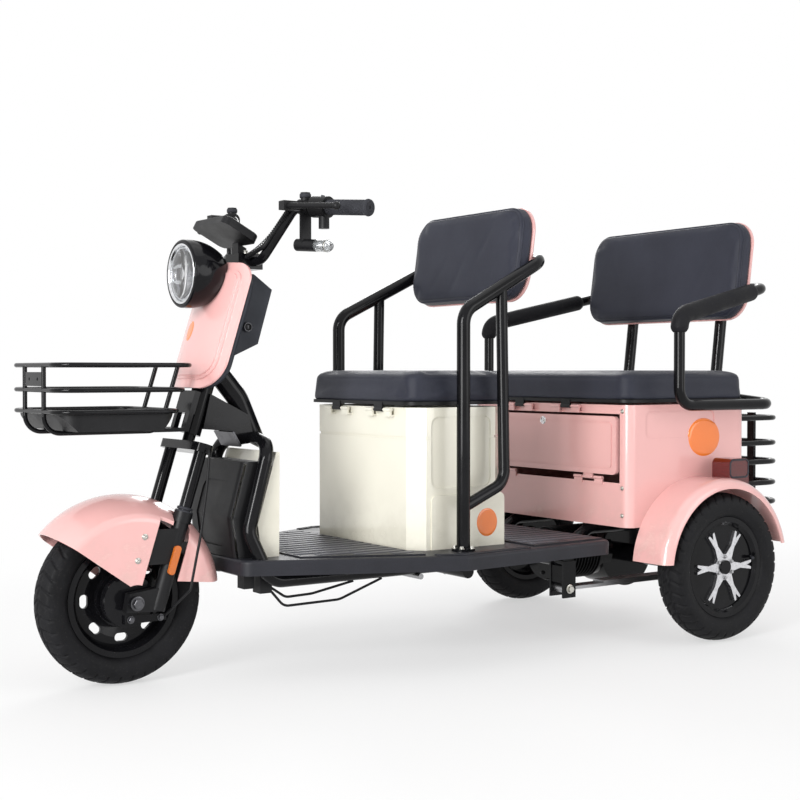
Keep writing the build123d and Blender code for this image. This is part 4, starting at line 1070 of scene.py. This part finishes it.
key = bmesh.new()
where = aim(at(279, -83, 792), (0, -1, 0))
profile = [(0.0098, 0.0), (0.0108, 0.0014), (0.0104, 0.0034), (0.0086, 0.0040), (0.0080, 0.0022), (0.0080, 0.0)]
lathe(key, profile, 40, where, True)
plateFrom(key, roundedLoop(0.0011, 0.0044, 0.0009, 4), where @ Matrix.Translation((0, 0, 0.0004)), 0.0022, 0.0003)
fromBmesh("keySocket", key, "gunmetal", "chassis")
profile = [(0.0079, -0.0002), (0.0079, 0.0012), (0.0070, 0.0018), (0, 0.0018)]
turned("keyPlug", "black", "chassis", where, 32, profile, False)

# dash: a dark glass with a ring of ticks, warning lights and a rim
dashUp, dashBack = leaning(28)
turn = Matrix(((dashBack.x, 0, dashUp.x), (0, 1, 0), (dashBack.z, 0, dashUp.z))).to_4x4()
dashFrame = Matrix.Translation(at(265, 0, 1014) + dashUp * 0.010) @ turn
bm = bmesh.new()
plateFrom(bm, roundedLoop(0.036, 0.066, 0.016, 8), dashFrame, 0.0016, 0.0008)
fromBmesh("dashGlass", bm, "gloss", "steering")
bm = bmesh.new()
rim = [dashFrame @ Vector((x, y, 0.0010)) for x, y in roundedLoop(0.0375, 0.0675, 0.0175, 10)]
tubeAlong(bm, rim, 0.0016, 8, True)
fromBmesh("dashRim", bm, "darkGrey", "steering")
bm = bmesh.new()
ticks = {"count": 21, "from": -120, "step": 12, "radius": 0.027, "long": 0.0055, "short": 0.003, "high": 0.0015}
for k in range(ticks["count"]):
    a = radians(ticks["from"] + ticks["step"] * k)
    long = ticks["long"] if k % 5 == 0 else ticks["short"]
    place = Matrix.Translation((ticks["radius"] * -cos(a), ticks["radius"] * sin(a), ticks["high"]))
    plateFrom(bm, roundedLoop(long / 2, 0.0005, 0.0004, 2), dashFrame @ place @ Matrix.Rotation(-a, 4, "Z"), 0.0004)
for k, y in enumerate((-0.055, -0.046, 0.046, 0.055)):
    place = Matrix.Translation((-0.012 + 0.008 * (k % 2), y, ticks["high"]))
    plateFrom(bm, roundedLoop(0.0024, 0.0024, 0.0023, 4), dashFrame @ place, 0.0005)
fromBmesh("dashMarks", bm, "halo", "steering")
print("column and dash dressed")

# hex bolts on the frame: place in mm, direction, head radius and height
springY = 250
frameBolts = [
    *[((745 + 21 * cos(a), side * 278.5 + 21 * sin(a), 276), (0, 0, 1), 0.0048, 0.006)
      for side in (-1, 1) for a in (0.6, 2.2, 3.9, 5.4)],
    *[((1665, side * 266, z), (1, 0, 0), 0.0048, 0.006) for side in (-1, 1) for z in (357, 410, 470, 530)],
    *[((x, side * (springY + out * 27.4), 150), (0, side * out, 0), 0.0085, 0.009)
      for x in (1076, 1706) for side in (-1, 1) for out in (-1, 1)],
]
bm = bmesh.new()
for place, way, radius, high in frameBolts:
    screwInto(bm, aim(at(*place), way), radius, high)
fromBmesh("frameBolts", bm, "zinc", "chassis", False)

# screws in the front fender, at their places in the picture and mirrored
bm = bmesh.new()
for u, v in ((145, 537), (138, 561), (180, 547)):
    hit, normal = land("front_fender", *sightLine(u, v))
    if hit is not None:
        for side in (1, -1):
            mirror = Vector((1, side, 1))
            screwInto(bm, aim(hit * mirror, normal * mirror), 0.0052, 0.0034, "cross")
fromBmesh("fenderScrews", bm, "zinc", "steering")


def landScrew(bm, node, start, way):
    hit, normal = land(node, start, way)
    if hit is not None:
        screwInto(bm, aim(hit, normal), 0.0042, 0.003, "cross")


shells = (("front_backrest_shell", 973, 985, 150, 70), ("rear_backrest_shell", 1680, 968, 215, 85))
bm = bmesh.new()
for node, x, z, wide, high in shells:
    for sx in (-1, 1):
        for sz in (-1, 1):
            start = at(x, sx * wide, z) + restUp * (sz * high / 1000) - restFront * 0.3
            landScrew(bm, node, start, restFront)
fromBmesh("shellScrews", bm, "zinc", "chassis")

bm = bmesh.new()
for y in (-300, 300):
    for z in (325, 395, 590):
        landScrew(bm, "rear_chest", at(1000, y, z), (1, 0, 0))
fromBmesh("chestScrews", bm, "zinc", "chassis")

lock = bmesh.new()
hit, normal = land("chest_door", at(1100, 0, 560), (1, 0, 0))
where = aim(hit, normal)
profile = [(0.0108, 0.0), (0.0108, 0.0030), (0.0096, 0.0042), (0.0080, 0.0042), (0.0076, 0.0020), (0.0076, 0.0)]
lathe(lock, profile, 40, where, True)
lathe(lock, [(0.0074, 0.0), (0.0074, 0.0024), (0.0066, 0.0030), (0, 0.0030)], 32, where)
plateFrom(lock, roundedLoop(0.0008, 0.0038, 0.0006, 3), where @ Matrix.Translation((0, 0, 0.0026)), 0.0012)
fromBmesh("doorLock", lock, "chrome", "chest_door")

# plain orange discs where the real one carries its badges
finish["orange"] = glossPanel("orangeFoil", (0.83, 0.20, 0.03), (0.40, 0.25, 0.15, 1))
discs = (
    ("shieldDisc", "front_shield", (190, 331), 0.019, 0.024, False),
    ("boxDisc", "front_seat_box", (487, 522), 0.031, 0.034, True),
    ("chestDisc", "rear_chest", (704, 437), 0.058, 0.050, True),
)
discShares, discSteps = (1.0, 0.97, 0.8, 0.6, 0.4, 0.2), 48
discThick, discFoot = 0.0006, 0.00005
for name, node, pick, wide, high, flat in discs:
    hit, normal = land(node, *sightLine(*pick))
    sideWay = Vector((0, 0, 1)).cross(normal).normalized()
    upWay = normal.cross(sideWay)
    spots = []
    for share in discShares:
        for k in range(discSteps):
            a = 2 * pi * k / discSteps
            p = hit + (sideWay * cos(a) * wide + upWay * sin(a) * high) * share
            spot, _ = land(node, p + normal * 0.05, -normal)
            spots.append(p if spot is None or (spot - p).length > 0.03 else spot)
    level = max((spot - hit).dot(normal) for spot in spots)
    bm = bmesh.new()
    rings = []
    for i, share in enumerate(discShares):
        ring = []
        for spot in spots[i * discSteps:(i + 1) * discSteps]:
            rise = discThick + (level - (spot - hit).dot(normal) if flat else 0.0)
            ring.append(bm.verts.new(spot + normal * (discFoot if share == 1.0 else rise)))
        rings.append(ring)
    bridge(bm, rings, False, False)
    fromBmesh(name, bm, "orange", "chassis")
print("fasteners and discs placed")

# fork: dust seals, axle nuts and the brake arm's pin
seals = bmesh.new()
for side in (-1, 1):
    for z, r0, r1 in ((377, 0.0142, 0.0195), (384, 0.0142, 0.0168)):
        where = aim(onAxis(z) + Vector((0, side * 0.078, 0)), axisUp)
        lathe(seals, [(r0, 0.0), (r1, 0.0), (r1 + 0.0012, 0.003), (r1, 0.006), (r0, 0.0065)], 36, where, True)
fromBmesh("forkSeals", seals, "rubber", "steering")
nuts = bmesh.new()
axleBolts = (((0, -102, axleHeight), -1, 0.0118, 0.011), ((0, 102, axleHeight), 1, 0.0118, 0.011),
             ((70, -66, 149), -1, 0.0058, 0.008), ((0, -66, 150), -1, 0.0065, 0.008))
for place, side, radius, high in axleBolts:
    screwInto(nuts, aim(at(*place), (0, side, 0)), radius, high)
fromBmesh("axleNuts", nuts, "gunmetal", "steering", False)

# clamp bolts on the handlebar block
clamp = bmesh.new()
for side in (-1, 1):
    for x in (308, 338):
        screwInto(clamp, aim(at(x, side * 21, 964), (0, 0, 1)), 0.0052, 0.008)
fromBmesh("clampBolts", clamp, "zinc", "steering", False)

# wheel valves and lug nuts
valve = [(0.0055, -0.006), (0.0055, 0.004), (0.0036, 0.008), (0.0034, 0.020), (0.0042, 0.021), (0.0042, 0.029),
         (0.0030, 0.031), (0, 0.031)]
lugRing = 0.027
for label, body, x, y, out in wheels:
    foot = at(x, y + out * 10, axleHeight) + Vector((0.112, 0, 0.02))
    where = aim(foot, Vector((-0.55, out * 0.8, -0.1)))
    turned(label + "Valve", "rubber", body, where, 20, valve, False)
    if label != "front":
        lugs = bmesh.new()
        for k in range(6):
            a = radians(60 * k + 30)
            start = at(x, y + out * 200, axleHeight) + Vector((lugRing * cos(a), 0, lugRing * sin(a)))
            hit, normal = land(body.replace("wheel", "star"), start, (0, -out, 0))
            if hit is not None:
                screwInto(lugs, aim(hit, (0, out, 0)), 0.0042, 0.006)
        fromBmesh(label + "Lugs", lugs, "steel", body, False)
print("wheel fittings made")

# rear running gear: U-bolts with plates, motor fins
ubolt = {"half": 30, "low": 126, "nut": 137, "apart": 25, "radius": 0.0045}
bend = [pi * k / 14 for k in range(15)]
ubolts = bmesh.new()
for side in (-1, 1):
    for out in (-1, 1):
        y = side * springY + out * ubolt["apart"]
        arch = [(-ubolt["half"] * cos(a), axleHeight + ubolt["half"] * sin(a)) for a in bend]
        arch = [(-ubolt["half"], ubolt["low"])] + arch + [(ubolt["half"], ubolt["low"])]
        tubeAlong(ubolts, [at(rearX + x, y, z) for x, z in arch], ubolt["radius"], 10)
        for x in (-ubolt["half"], ubolt["half"]):
            screwInto(ubolts, aim(at(rearX + x, y, ubolt["nut"]), (0, 0, -1)), 0.0075, 0.009)
    where = Matrix.Translation(at(rearX, side * springY, ubolt["nut"]))
    plateFrom(ubolts, roundedLoop(0.042, 0.036, 0.006, 4), where, 0.006, 0.0012)
fromBmesh("springBolts", ubolts, "zinc", "chassis")
motor = {"from": 1236, "to": 1376, "pitch": 11, "z": 198, "end": 1222, "ring": 52,
         "fin": [(0.0675, -0.0016), (0.0725, -0.0010), (0.0732, 0.0), (0.0725, 0.0010), (0.0675, 0.0016)]}
fins = bmesh.new()
for x in range(motor["from"], motor["to"], motor["pitch"]):
    lathe(fins, motor["fin"], 56, aim(at(x, 0, motor["z"]), (1, 0, 0)), True)
for k in range(6):
    a = radians(60 * k + 30)
    place = at(motor["end"], motor["ring"] * cos(a), motor["z"] + motor["ring"] * sin(a))
    screwInto(fins, aim(place, (-1, 0, 0)), 0.0045, 0.006)
fromBmesh("motorFins", fins, "rim", "chassis")

# tail lamp rims and clear windows on the outer faces
for side, label in ((-1, "left"), (1, "right")):
    low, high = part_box("tail_lamps")
    outY = side * max(abs(low.y), abs(high.y))
    cx, cz = (low.x + high.x) / 2, high.z - 0.026
    rim = bmesh.new()
    loop = roundedLoop(0.0335, 0.0225, 0.012, 8)
    tubeAlong(rim, [Vector((cx + x, outY, cz + z)) for x, z in loop], 0.0022, 8, True)
    fromBmesh(label + "LampRim", rim, "darkGrey", "chassis")
    window = bmesh.new()
    hit = Vector((high.x, side * (abs(outY) - 0.030), cz))
    plateFrom(window, roundedLoop(0.024, 0.016, 0.006, 6), aim(hit, (1, 0, 0)), 0.0022, 0.0010)
    fromBmesh(label + "LampWindow", window, "halo", "chassis")
print("running gear and lamps dressed")
